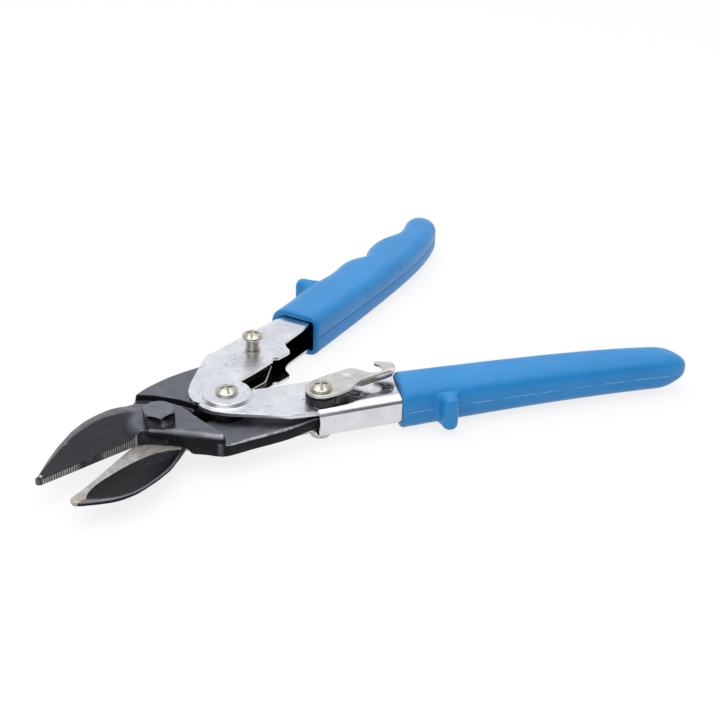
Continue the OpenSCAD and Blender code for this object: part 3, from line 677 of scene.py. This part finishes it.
def upper_ground(u, v, d):
    tooth = (d < 0.01) & (v < 0) & (u > 10.8) & (u < 48.8)
    tone = along(u, [(10.8, 0.95), (24, 0.8), (27, 0.25), (33, 0.2), (36, 0.85), (46, 1.0), (49, 1.0)])
    mark = np.where(tooth, tone * np.where(v < TOOTH_MIDDLE, 1.0, 0.1), 0.0)
    worn = np.exp(-(np.hypot(u - 48.8, v + 0.1) / 0.9) ** 2)
    top = np.maximum(mark, 0.75 * worn)
    return top, np.where(tooth, mark, 0.9 * (u > 1) * (d > 0.3))


def upper_hollow(u, v, d):
    """Dull inside the blade's dish, less so on its outer bevel and towards the boss."""
    away = eased((np.hypot(u, v) - 8.0) / 5.0) * eased((u - 2.0) / 4.0)
    ridge = along(u, UPPER_RIDGE + [(0, 9.0)])
    dish = mixed(1.0, 0.72, eased((v - ridge) / 0.5))
    return 0.9 * away * dish, np.zeros(len(u))


def upper_teeth(loop):
    u, v = loop[:, 0], loop[:, 1]
    on = (v < -1.2) & (u > 10.8) & (u < 48.6)
    gap = np.zeros(len(loop))
    count = 0
    for i in range(len(loop)):
        if on[i]:
            gap[i] = 0.26 * (count % 2)
            count += 1
    return gap


def lower_below(u, v, d):
    pts = np.stack([u, v], axis=1)
    hollow = within(pts, HOLLOW)
    to_land, to_rim = reach(pts, LAND_LINE), reach(pts, RIM_LINE)
    depth = (0.35 * eased(to_land / 0.7) + 0.75 * eased(to_land / 4.5)) * eased(to_rim / 2.4)
    z = np.where(hollow, depth, 0.0) + FACE_GAP
    line = along(v, LOWER_RAISE)
    z = mixed(z, -TAIL_TOP, eased((line + 0.55 - u) / 0.85))
    z = mixed(z, -TAIL_TOP, eased((-26 - u) / 2.0))
    radius = np.where(u > 2, np.where(v > 0, along(u, [(5, 0.5), (24, 0.4), (40, 0.9), (49, 1.0)]), 0.03), 0.8)
    return z + rounded(d, radius)


def lower_above(u, v, d):
    rho = np.hypot(u, v)
    t = np.clip(u / 49, 0, 1)
    outer_v = along(u, LOWER_OUTER)
    z = blade_height(u, v, -2.6, LOWER_OUTER, 0.52 * outer_v, mixed(3.0, 1.5, t),
                     5.6 - 3.9 * np.clip((u - 4) / 45, 0, 1) ** 1.1,
                     along(u, [(0, 2.2), (10, 1.3), (28, 1.0), (40, 1.5), (49, 1.3)]), 1.3)
    boss = np.maximum(eased((13.0 - rho) / 5.0), eased((1.0 - u) / 5.0))
    z = mixed(z, LOWER_H, boss)
    line = along(v, LOWER_STEP)
    z = mixed(TAIL_TOP, z, eased((u - line + 1.0) / 1.0))
    radius = np.where(u > 3, 0.4, np.where((v > 1) & (u > -14), 2.6, 0.8))
    return z - rounded(d, radius)


def lower_ground(u, v, d):
    pts = np.stack([u, v], axis=1)
    inner = v < along(u, [(4.3, 12.2), (10.8, 10.0), (22, 9.0), (34, 7.5), (40, 5.5), (45.6, 2.5), (49.2, 1.4)])
    land = (u > 1.0) & ~within(pts, HOLLOW) & inner
    tip = np.exp(-(np.hypot(u - 48.7, v - 0.3) / 1.6) ** 2)
    face = np.where(land, 1.0, 0.0)
    edge = (d < 0.01) & (u > 5) & (v < 0)
    return np.maximum(0.9 * edge, 0.35 * tip), np.maximum(face, 0.3 * tip)


def lower_hollow(u, v, d):
    return np.zeros(len(u)), within(np.stack([u, v], axis=1), HOLLOW).astype(float)


def step_line(keys, shift):
    """Plan line along a step given as u over v, so that the skin's points follow it."""
    v = np.arange(keys[0][0], keys[-1][0], 0.45)
    return np.stack([along(v, keys) + shift, v], axis=1)


def jaw(node, name, side, *shape):
    mesh = plan_mesh(name, *shape, jaw_place(side))
    return put(name, mesh, node, replaces=(node,))


def no_teeth(loop):
    return np.zeros(len(loop))


jaw("upper_jaw", "upper_jaw_forging", 1, UPPER_PLAN, [((0, 0), 3.58), (UPPER_PIN, 2.66)],
    [RIDGE_LINE, step_line(UPPER_STEP, -0.75), step_line(UPPER_STEP, 0.05)],
    upper_above, upper_below, {"ground": upper_ground, "hollow": upper_hollow}, upper_teeth)
jaw("lower_jaw", "lower_jaw_forging", -1, LOWER_PLAN, [((0, 0), 4.06), (LOWER_PIN, 2.66)],
    [LAND_LINE, RIM_LINE, step_line(LOWER_RAISE, -0.25), step_line(LOWER_RAISE, 0.5)],
    lower_above, lower_below, {"ground": lower_ground, "hollow": lower_hollow}, no_teeth)


# ---- Handles ------------------------------------------------------------------
# Handle coordinates: x from the link screw along the handle, y towards its web, z from the shear plane.

def handle_place(side):
    """Handle coordinates to the rest pose; side is 1 for handle A and -1 for handle B."""
    turn = math.radians(side * (OPEN_ANGLE - ARM_LEAD))
    c, s = math.cos(turn), math.sin(turn)

    def place(x, y, z):
        y *= side
        return ((LINK_X + x * c - y * s) * MM, (x * s + y * c) * MM, (MID_Z + z) * MM)
    return place


FLANGE_TOP, BEND_R, SOFT_BEND_R = 6.33, 2.4, 4.6
WEB_A = ((25.6, 24.4), (64.5, 15.9))
WEB_B = ((32.2, 17.6), (64.5, 13.2))


TAB_CENTRE_X, TAB_R, TAB_FROM, TAB_TO = 41.9, 3.4, 162, 70
TAB_ARC = [TAB_CENTRE_X + TAB_R * math.cos(math.radians(a)) for a in np.linspace(TAB_FROM, TAB_TO, 9)]


def open_tab(x, y):
    """Handle A's flange tab with a rounded end and one sweep back to the open edge."""
    if y > 1.0 or not 33.95 < x < 45.5:
        return x, y
    before = (33.9, 34.0, 38.6, *TAB_ARC, 45.4)
    after = ((33.9, -2.37), (34.5, -2.65), (39.3, -3.8), (40.1, -3.95), (40.9, -3.75), (41.5, -3.2), (42.0, -2.5),
             (42.6, -1.6), (43.3, -0.75), (44.2, 0.0), (45.4, 0.6), (46.9, 1.05), (49.3, 1.25))
    return tuple(float(np.interp(x, before, [p[k] for p in after])) for k in (0, 1))


def soft_bends(side, web, edge):
    """Rounds the channel's two bends along the web more fully and trims the flanges' corner ahead of it."""
    (x0, y0), (x1, y1) = web
    length = math.hypot(x1 - x0, y1 - y0)
    run = ((x1 - x0) / length, (y1 - y0) / length)
    inner = (run[1], -run[0])
    turn = math.radians(side * (OPEN_ANGLE - ARM_LEAD))
    c, s = math.cos(turn), math.sin(turn)

    def handle_point(v):
        wx, wy, wz = v.co / MM
        wx -= LINK_X
        return wx * c + wy * s, (-wx * s + wy * c) * side, wz - MID_Z

    def bend_point(x, y):
        """Distance past the bends' start along the web, and depth inward from it."""
        return ((x - x0) * run[0] + (y - y0) * run[1], (x - x0) * inner[0] + (y - y0) * inner[1])

    cuts = (0.9, 1.5, 2.0, 2.4, 2.8, 3.2, 3.6, 4.0, 4.3, SOFT_BEND_R)

    def reshape(mesh):
        place = handle_place(side)
        bm = bmesh.new()
        bm.from_mesh(mesh)

        def cut(point, normal):
            bmesh.ops.bisect_plane(bm, geom=bm.verts[:] + bm.edges[:] + bm.faces[:], dist=1e-7,
                                   plane_co=point, plane_no=normal)
        across = Vector(place(*inner, 0)) - Vector(place(0, 0, 0))
        along_run = Vector(place(*run, 0)) - Vector(place(0, 0, 0))
        for depth in cuts:
            cut(place(x0 + inner[0] * depth, y0 + inner[1] * depth, 0), across)
            for up in (-1, 1):
                cut(place(0, 0, up * (FLANGE_TOP - depth)), (0, 0, 1))
        for ahead in (-2.2, -1.6, -1.0, -0.4, 0.2):
            cut(place(x0 + run[0] * ahead, y0 + run[1] * ahead, 0), along_run)
        bmesh.ops.remove_doubles(bm, verts=bm.verts, dist=0.06 * MM)
        for v in bm.verts:
            x, y, z = handle_point(v)
            ahead, depth = bend_point(x, y)
            high = FLANGE_TOP - abs(z)
            share = float(eased((ahead + 1.6) / 1.4)) * (1 if ahead < length + 2 else 0)
            if share <= 0 or min(depth, high) < -0.3 or max(depth, high) > SOFT_BEND_R:
                continue
            if max(depth, high) < BEND_R:
                below = BEND_R - math.hypot(BEND_R - depth, BEND_R - high)
            else:
                below = min(depth, high)
            angle = math.atan2(max(SOFT_BEND_R - high, 0), max(SOFT_BEND_R - depth, 0))
            r = SOFT_BEND_R - below
            depth2, high2 = SOFT_BEND_R - r * math.cos(angle), SOFT_BEND_R - r * math.sin(angle)
            move = share * (depth2 - depth)
            x, y = x + inner[0] * move, y + inner[1] * move
            z += math.copysign(1.0, z) * share * (high - high2)
            v.co = place(x, y, z)
        # The inside mark tells the zinc material where to paint shade inside the channel.
        inside = bm.verts.layers.float.new("inside")
        for v in bm.verts:
            x, y, z = handle_point(v)
            if (z < -4 or side > 0) and 5 < x < (31.4, 25.4)[side > 0] and y > edge(x):
                y = edge(x)
                v.co = place(x, y, z)
            if side > 0:
                x, y = open_tab(x, y)
                v.co = place(x, y, z)
            ahead, depth = bend_point(x, y)
            v[inside] = 1.0 if -5.03 < z < 4.6 and (depth > 1.2 or ahead < -1.5) else 0.0
        bmesh.ops.remove_doubles(bm, verts=bm.verts, dist=0.14 * MM)
        weight = bm.edges.layers.float.new("bevel_weight_edge")
        clear = set()
        for v in bm.verts:
            x, y, z = handle_point(v)
            ahead, depth = bend_point(x, y)
            cut_back = side < 0 and z < 0 and 22 < x < 40 and y > 9
            eye_corner = side < 0 and -10.5 < x < -4.5 and abs(y - 2) < 1.6
            if (ahead < -4.6 or depth > SOFT_BEND_R + 0.6) and not cut_back and not eye_corner:
                clear.add(v)
        for e in bm.edges:
            if len(e.link_faces) == 2 and e.calc_face_angle() > math.radians(32) and clear.issuperset(e.verts):
                e[weight] = 1.0
        bm.to_mesh(mesh)
        bm.free()
    return reshape


dressed("handle_a_channel", "handle_a_plate", 0.18,
        reshape=soft_bends(1, WEB_A, lambda x: float(along(x, [(5, 17.9), (11, 20.2), (19, 21.9), (25.4, 22.7)]))))
dressed("handle_b_channel", "handle_b_plate", 0.18,
        reshape=soft_bends(-1, WEB_B, lambda x: 11.6 + 0.21 * (30.5 - x)))
dressed("pivot_bolt", "hex_bolt", 0.25)
dressed("pivot_washer", "bolt_washer", 0.1)
dressed("pivot_nut", "hex_nut", 0.2)
for part in ("link_screw", "catch_stud", "latch_screw"):
    dressed(part, part + "_head", 0.12)


def tall_head(mesh):
    """Draws the rivet's head out below the flange."""
    rim = (MID_Z - FLANGE_TOP) * MM
    for v in mesh.vertices:
        if v.co.z < rim:
            v.co.z = rim - 1.9 * (rim - v.co.z)


dressed("latch_rivet", "latch_rivet_turned", 0.3, 3, reshape=tall_head)
for part in ("link_rivet", "catch_rivet", "link_bush", "tail_spacer_a_top", "tail_spacer_a_bottom",
             "tail_spacer_b_top", "tail_spacer_b_bottom", "latch_spacer", "latch_washer"):
    dressed(part, part + "_turned", 0.15)

# ---- Grips --------------------------------------------------------------------

GRIP_START, GRIP_END = 64.5, {1: 187.5, -1: 184.5}
GRIP_H, GRIP_END_H, LIP_R = 18.4, 15.0, 1.1
LUG_FROM = {1: 28.6, -1: 14.4}


def grip_edges(side, x):
    """Outer and inner edge of a grip; A has finger waves, B is smooth."""
    def bulge(at, wide):
        return math.exp(-((x - at) / wide) ** 2)
    end = GRIP_END[side]
    t = (x - GRIP_START) / (end - GRIP_START)
    if side > 0:
        wave = 1.5 * (bulge(121, 9.5) + bulge(149, 8.5) - 2 * bulge(132, 5.5) - bulge(163, 8))
        t_out = (x - GRIP_START) / (end - 3 - GRIP_START)
        return (18.4 - 11.2 * t_out + 1.5 * bulge(92, 14) + wave + 0.8 * bulge(135, 30) + 4.4 * bulge(186, 12),
                -3.5 - 6.3 * math.sin(math.radians(96 * min(1, t * 1.05))) + 8.5 * t ** 7)
    return (14.4 - 14 * t + 4.6 * max(t, 0) ** 2.6,
            -4.6 - 6 * math.sin(math.radians(100 * min(1, t * 1.15))) + 3 * t ** 8)


def grip_section(x, centre, w, h, q_web, q_open, seam=0.0, crown=0.0):
    """One ring of a grip: a box rounded more on its web side, with a parting line halfway up each side."""
    ring = []
    top = max(0.3, min(w, h))
    q_web, q_open = min(q_web, 0.95 * top), min(q_open, 0.95 * top)
    for sx, sz, q, arc in corners(w, h, q_web, q_open, 8):
        ring += arc
        if sx == sz:
            half = max(h - q, 0.05)
            for z in (0.7 * half, min(0.36, 0.6 * half), min(0.2, 0.4 * half), 0.0, -min(0.2, 0.4 * half),
                      -min(0.36, 0.6 * half), -0.7 * half):
                lift = seam if z == 0 else 0.35 * seam if abs(z) <= 0.2 else 0.0
                ring.append((sx * (w + lift), sx * z))
        else:
            low, high = q_open - w, w - q_web
            steps = (0.2, 0.4, 0.6, 0.8) if sz > 0 else (0.8, 0.6, 0.4, 0.2)
            ring += [(mixed(low, high, f), sz * h) for f in steps]
    return [(x, centre + y, z * (1 - crown * (y / w) ** 2 * (z / h) ** 4 / h)) for y, z in ring]


def grip(side, node, name, web, inner_edge, seam):
    end = GRIP_END[side]
    place = handle_place(side)
    rings = []
    n = 120
    xs = [mixed(GRIP_START + LIP_R, end - 0.02, 1 - (1 - i / n) ** 1.3) for i in range(n + 1)]
    lip = [GRIP_START + LIP_R * (1 - math.cos(math.radians(a))) for a in (0, 15, 30, 45, 60, 75)]
    wall_y = web[1][1] + 0.15
    open_lip = min(LIP_R, inner_edge - grip_edges(side, GRIP_START)[1] - 0.1)
    for x, wider in ((7, 0.0), (0.6, 0.0), (0.15, 0.1), (0, 0.35)):
        low, high = inner_edge - min(wider, open_lip / 10), wall_y + wider
        rings.append(grip_section(GRIP_START + x, (low + high) / 2, (high - low) / 2, FLANGE_TOP + 0.3 + wider,
                                  4.9 + wider, 1.3 + wider))
    for x in lip + xs:
        outer, inner = grip_edges(side, x)
        cap = max(0.0, (x - (end - 13)) / 13)
        cap = math.sqrt(max(0.0004, 1 - cap * cap))
        back = LIP_R - math.sqrt(max(0.0, LIP_R ** 2 - max(0.0, GRIP_START + LIP_R - x) ** 2))
        t = (x - GRIP_START) / (end - GRIP_START)
        h = mixed(GRIP_H, GRIP_END_H, math.sin(math.radians(90 * t))) / 2 * mixed(1, cap, 0.9)
        centre, half = (outer + inner) / 2, (outer - inner) / 2 * cap
        low, high = centre - half + min(back, open_lip), centre + half - back
        rings.append(grip_section(x, (low + high) / 2, (high - low) / 2, h - back,
                                  mixed(6.6, 5.2, t), 4.4, seam * min(1.0, cap * 2) if back < 0.1 else 0.0, 0.3 * cap))
    verts = [place(*p) for ring in rings for p in ring]
    faces = tube_faces(0, len(rings[0]), len(rings))
    # Seam mark: positive for the painted highlight on the flash ridge, negative for painted shade in the groove, and -3
    # on the first two rings for painted shade inside the socket.
    line = [-3.0 if k < 2 else (-1.0 if seam < 0 else 1.0) * (k > 9 and p[2] == 0)
            for k, ring in enumerate(rings) for p in ring]
    lug_verts, lug_faces = lug(side, place, len(verts))
    line += [0.0] * len(lug_verts)
    mesh = solid(name, verts + lug_verts, faces + lug_faces, 60, [("seam", line)])
    return put(name, mesh, node, replaces=(node,))


def lug(side, place, first):
    """Guard lug on the web side, filleted into the grip and rounded at its end, with its points counted from first."""
    at = GRIP_START + LUG_FROM[side] + 3.25
    edge = grip_edges(side, at)[0]
    slope = (grip_edges(side, at + 3)[0] - grip_edges(side, at - 3)[0]) / 6
    layers = ((-3.2, 6.4, 6.2), (-0.9, 6.1, 6.3), (-0.25, 5.5, 6.5), (0.4, 4.7, 6.8), (1.3, 3.95, 7.0), (2.5, 3.4, 7.1),
              (4.0, 3.15, 7.1), (5.2, 3.0, 6.9), (6.0, 2.7, 6.5), (6.5, 2.2, 5.9), (6.8, 1.5, 5.1), (6.9, 0.6, 4.1))
    verts = []
    for y, half_x, half_z in layers:
        q = min(half_x * 0.95, 3.4)
        tilt = slope * max(0.0, 1 - max(y, 0) / 4)
        verts += [place(at + x, edge + y + tilt * x - 0.5 * (abs(z) / 7) ** 3 * (y < 1), z)
                  for *_, arc in corners(half_x, half_z, q, q, 6) for x, z in arc]
    return verts, tube_faces(first, len(verts) // len(layers), len(layers))


grip(1, "grip_a", "grip_a_skin", WEB_A, -1.3, -0.3)
grip(-1, "grip_b", "grip_b_skin", WEB_B, -4.0, 0.2)

# ---- Latch --------------------------------------------------------------------
# Latch coordinates: x and y from the latch screw, z from the underside of the latch plate.

LATCH_Z, LATCH_T = FLANGE_TOP + 3.9, 1.2
PIN_B = (LINK_X + LINK_ARM * math.cos(math.radians(OPEN_ANGLE)), -LINK_ARM * math.sin(math.radians(OPEN_ANGLE)))
LATCH_PLAN = [
    (-5.6, 1.2), (-3.9, 4.4), (-0.6, 6.1), (3.5, 6.6), (8.5, 6.4), (13.4, 6.1), (16.9, 5.7), (19.1, 4.3), (20.5, 1.5),
    (21.8, -1.1), (23.3, -2.4), (25.4, -2.95), (27.3, -2.25), (28.2, -0.7), (28.2, 0.9), (27.7, 2.3), (27.4, 3.2),
    (28.2, 3.8), (29.6, 3.4), (31.6, 1.7), (33.5, -0.5), (33.2, -2.4), (30.6, -5.3), (28.4, -6.0), (22, -5.2),
    (16.2, -4.4), (13.9, -4.5), (12.2, -5.2), (9.4, -6.2), (4.4, -6.4), (0, -6.0), (-3.8, -4.4), (-5.5, -1.6)]


def latch_place(x, y, z):
    return ((PIN_B[0] + x) * MM, (PIN_B[1] + y) * MM, (MID_Z + LATCH_Z + z) * MM)


def latch_above(u, v, d):
    dimple = 0.45 * eased(1.25 - np.hypot(u - 12.4, v - 0.8) / 3.0)
    fold = 0.35 * eased((u - 14) / 1.5) * eased((-3.2 - v) / 1.6)
    return LATCH_T - dimple - fold - rounded(d, 0.3)


def latch_below(u, v, d):
    return rounded(d, 0.15) - 0.3 * eased(1.1 - np.hypot(u - 12.4, v - 0.8) / 3.0)


def bare(u, v, d):
    return np.zeros(len(u)), np.zeros(len(u))


latch_mesh = plan_mesh("latch_plate", LATCH_PLAN, [((0, 0), 2.65)], [], latch_above, latch_below, {"ground": bare},
                       no_teeth, latch_place)
put("latch_plate", latch_mesh, "latch_lever", replaces=("latch_lever",))


def latch_side():
    """Side flange folded down from the plate's edge, growing out of a slanting step at its front."""
    verts = []
    start, end = (12.6, -4.9), (29.4, -5.9)
    steps = ((0.0, 0.1), (0.05, 0.3), (0.1, 0.65), (0.16, 1.0), (0.22, 1.2), (0.5, 1.25), (0.8, 1.2), (0.94, 1.0),
             (1.0, 0.7))
    for t, depth in steps:
        x, y = mixed(start[0], end[0], t), mixed(start[1], end[1], t) + 0.25 * math.sin(math.pi * t)
        ring = [(1.3, LATCH_T - 0.08), (0.75, LATCH_T - 0.08), (0.35, LATCH_T - 0.2), (0.1, LATCH_T - 0.45),
                (0.0, LATCH_T - 0.8), (0.0, -depth + 0.15), (0.15, -depth), (0.95, -depth), (1.1, -depth + 0.15),
                (1.1, -0.05), (1.3, 0.05)]
        verts += [latch_place(x, y + dy, z) for dy, z in ring]
    mesh = solid("latch_flange", verts, tube_faces(0, len(verts) // len(steps), len(steps)), 40)
    # The flange takes the darker latch_side material, painted shade on the folded nickel.
    put("latch_flange", mesh, "latch_lever", mat=MATS["latch_side"])


latch_side()

# ---- Return spring ------------------------------------------------------------

LOOP_R, SPRING_T, SPRING_W = 5.0, 0.8, 7.0
LEG_ANGLE, LEG_TOP, LEG_BEND, HOOK_ANGLE, HOOK_L = 12.1, -1.4, 26.3, 45.6, 12.6


def strip(name, path, body, tail=None, narrow=0.0):
    """Flat spring strip on edge along a plan path, its edges marked for a painted highlight.

    A leg is cut narrower away from the loop and gives way to the jaw's tail.
    """
    verts, bright = [], []
    n = len(path)
    for i, (x, y) in enumerate(path):
        a, b = path[max(i - 1, 0)], path[min(i + 1, n - 1)]
        tx, ty = b[0] - a[0], b[1] - a[1]
        size = math.hypot(tx, ty)
        nx, ny = -ty / size, tx / size
        low, w, e = -SPRING_W / 2, SPRING_T / 2, 0.25
        high = SPRING_W / 2 - narrow * float(eased((math.hypot(x, y) - 7) / 7))
        for off, z, edge in ((w, high - e, 1), (w - e, high, 1), (e - w, high, 1), (-w, high - e, 1),
                             (-w, high - 0.4, 0), (-w, low + 0.4, 0), (-w, low + e, 1), (e - w, low, 1),
                             (w - e, low, 1), (w, low + e, 1), (w, low + 0.4, 0), (w, high - 0.4, 0)):
            verts.append(((LINK_X + x + nx * off) * MM, (y + ny * off) * MM, (MID_Z + z) * MM))
            # bright marks the edges and the end ring for the painted highlight.
            bright.append(float(edge or i == n - 1))
    mesh = solid(name, verts, tube_faces(0, len(verts) // n, n), 30, [("edge", bright)])
    ob = added(name, mesh)
    mesh.materials.append(MATS["spring_steel"])
    if tail:
        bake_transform(ob)
    else:
        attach(ob, body)
    return ob


def spring():
    r = LOOP_R + SPRING_T / 2
    start = 90 + LEG_ANGLE
    loop = [(r * math.cos(math.radians(a)), r * math.sin(math.radians(a)))
            for a in np.linspace(start - 18, 360 - start + 18, 40)]
    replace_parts(strip("spring_loop", loop, "handle_b"), "return_spring")
    for name, side, body, tail in (("spring_leg_a", 1, "handle_a", "lower_jaw"),
                                   ("spring_leg_b", -1, "handle_b", "upper_jaw")):
        along_leg, along_hook = (np.array([math.cos(math.radians(a)), math.sin(math.radians(a))])
                                 for a in (LEG_ANGLE, HOOK_ANGLE))
        root = r * np.array([-along_leg[1], along_leg[0]])
        corner = root + LEG_BEND * along_leg
        leg = [root + s * along_leg for s in np.linspace(0, LEG_BEND - 1.5, 12)]
        leg += [corner - 1.5 * (1 - t) ** 2 * along_leg + 1.5 * t ** 2 * along_hook for t in (0.3, 0.5, 0.7)]
        leg += [corner + s * along_hook for s in np.linspace(1.5, HOOK_L, 6)]
        strip(name, [(x, side * y) for x, y in leg], body, tail, SPRING_W / 2 - LEG_TOP)


spring()

# ---- Floor, light and camera ---------------------------------------------------

def node_maker(block):
    """Clears the nodes of a material or world, and returns a function that adds one with its inputs set or linked."""
    block.use_nodes = True
    nt = block.node_tree
    nt.nodes.clear()

    def node(kind, op=None, *values):
        n = nt.nodes.new("ShaderNode" + kind)
        if op:
            n.operation = op
        for i, value in enumerate(values):
            if isinstance(value, bpy.types.NodeSocket):
                nt.links.new(value, n.inputs[i])
            elif value is not None:
                n.inputs[i].default_value = value
        return n
    return node


FLOOR_HALF, FLOOR_Z, FLOOR_GLOW = 15.0, -0.0003, 0.82


def floor():
    """A pale floor that keeps the object's shadow and is white where it is seen or mirrored."""
    mesh = bpy.data.meshes.new("floor")
    mesh.from_pydata([(x * FLOOR_HALF, y * FLOOR_HALF, FLOOR_Z) for x, y in ((-1, -1), (1, -1), (1, 1), (-1, 1))],
                     [], [(0, 1, 2, 3)])
    ob = added("floor", mesh)
    mat = bpy.data.materials.new("floor_white")
    node = node_maker(mat)
    path = node("LightPath").outputs
    seen = node("Math", "MAXIMUM", path["Is Camera Ray"], path["Is Glossy Ray"]).outputs[0]
    seen = node("Math", "MAXIMUM", seen, path["Is Transmission Ray"]).outputs[0]
    share = node("Math", "MULTIPLY", seen, FLOOR_GLOW).outputs[0]
    paper = node("BsdfDiffuse", None, (0.86, 0.86, 0.87, 1)).outputs[0]
    glow = node("Emission", None, (1, 1, 1, 1)).outputs[0]
    node("OutputMaterial", None, node("MixShader", None, share, paper, glow).outputs[0])
    mesh.materials.append(mat)


def world():
    """A bright wall behind the object, a dim room in front and a pale ceiling, as the metal mirrors them."""
    w = bpy.data.worlds.new("studio")
    scene.world = w
    node = node_maker(w)

    def levels(fac, *stops):
        ramp = node("ValToRGB", None, fac)
        elements = ramp.color_ramp.elements
        while len(elements) < len(stops):
            elements.new(0.5)
        for e, (pos, tone) in zip(elements, stops):
            e.position = pos
            e.color = (tone * 0.985, tone * 0.995, tone * 1.02, 1)
        return ramp.outputs[0]

    x, y, z = node("SeparateXYZ", None, node("TexCoord").outputs["Generated"]).outputs
    ahead = node("Math", "MULTIPLY_ADD", x, 0.62, node("Math", "MULTIPLY", y, 0.78).outputs[0]).outputs[0]
    facing = node("MapRange", None, ahead, -0.35, 0.45)
    facing.interpolation_type = "SMOOTHSTEP"
    behind = levels(z, (0.0, 1.0), (0.50, 1.05), (0.57, 0.70), (0.66, 0.55), (0.80, 1.0), (1.0, 1.15))
    front = levels(z, (0.0, 0.45), (0.08, 0.22), (0.58, 0.20), (0.72, 0.9), (0.84, 1.35), (1.0, 1.15))
    tone = node("MixRGB", None, facing.outputs[0], front, behind).outputs[0]
    node("OutputWorld", None, node("Background", None, tone).outputs[0])


def area(name, pos, target, size, power):
    data = bpy.data.lights.new(name, "AREA")
    data.energy = power
    data.shape = "RECTANGLE"
    data.size = size
    data.size_y = size
    ob = added(name, data)
    ob.location = pos
    ob.rotation_euler = (Vector(target) - Vector(pos)).to_track_quat("-Z", "Y").to_euler()


TARGET = Vector((92.60, 0.82, MID_Z)) * MM
AZIMUTH, ELEVATION, ROLL, DISTANCE = -38.46, 30.07, 1.76, 0.5675
SENSOR, FOCAL = 36.0, 71.07


def camera():
    """The photograph's viewing angle."""
    az, el, roll = map(math.radians, (AZIMUTH, ELEVATION, ROLL))
    ahead = Vector((-math.sin(az) * math.cos(el), math.cos(az) * math.cos(el), -math.sin(el)))
    right = Vector((math.cos(az), math.sin(az), 0))
    up = right.cross(ahead)
    r = math.cos(roll) * right + math.sin(roll) * up
    u = -math.sin(roll) * right + math.cos(roll) * up
    cam = bpy.data.cameras.new("camera")
    cam.sensor_width = SENSOR
    cam.lens = FOCAL
    cam.clip_start = 0.01
    ob = added("camera", cam)
    rot = Matrix((r, u, -ahead)).transposed()
    ob.matrix_world = Matrix.Translation(TARGET - ahead * DISTANCE) @ rot.to_4x4()
    scene.camera = ob


floor()
world()
area("key", (-0.10, -0.12, 0.85), (0.07, 0, 0), 1.15, 3.5)
area("fill", (-0.55, -0.45, 0.45), (0.08, 0, 0), 0.7, 1.0)
area("back", (0.30, 0.30, 0.90), (0.08, 0, 0), 0.9, 1.3)
camera()
scene.view_settings.view_transform = "Standard"
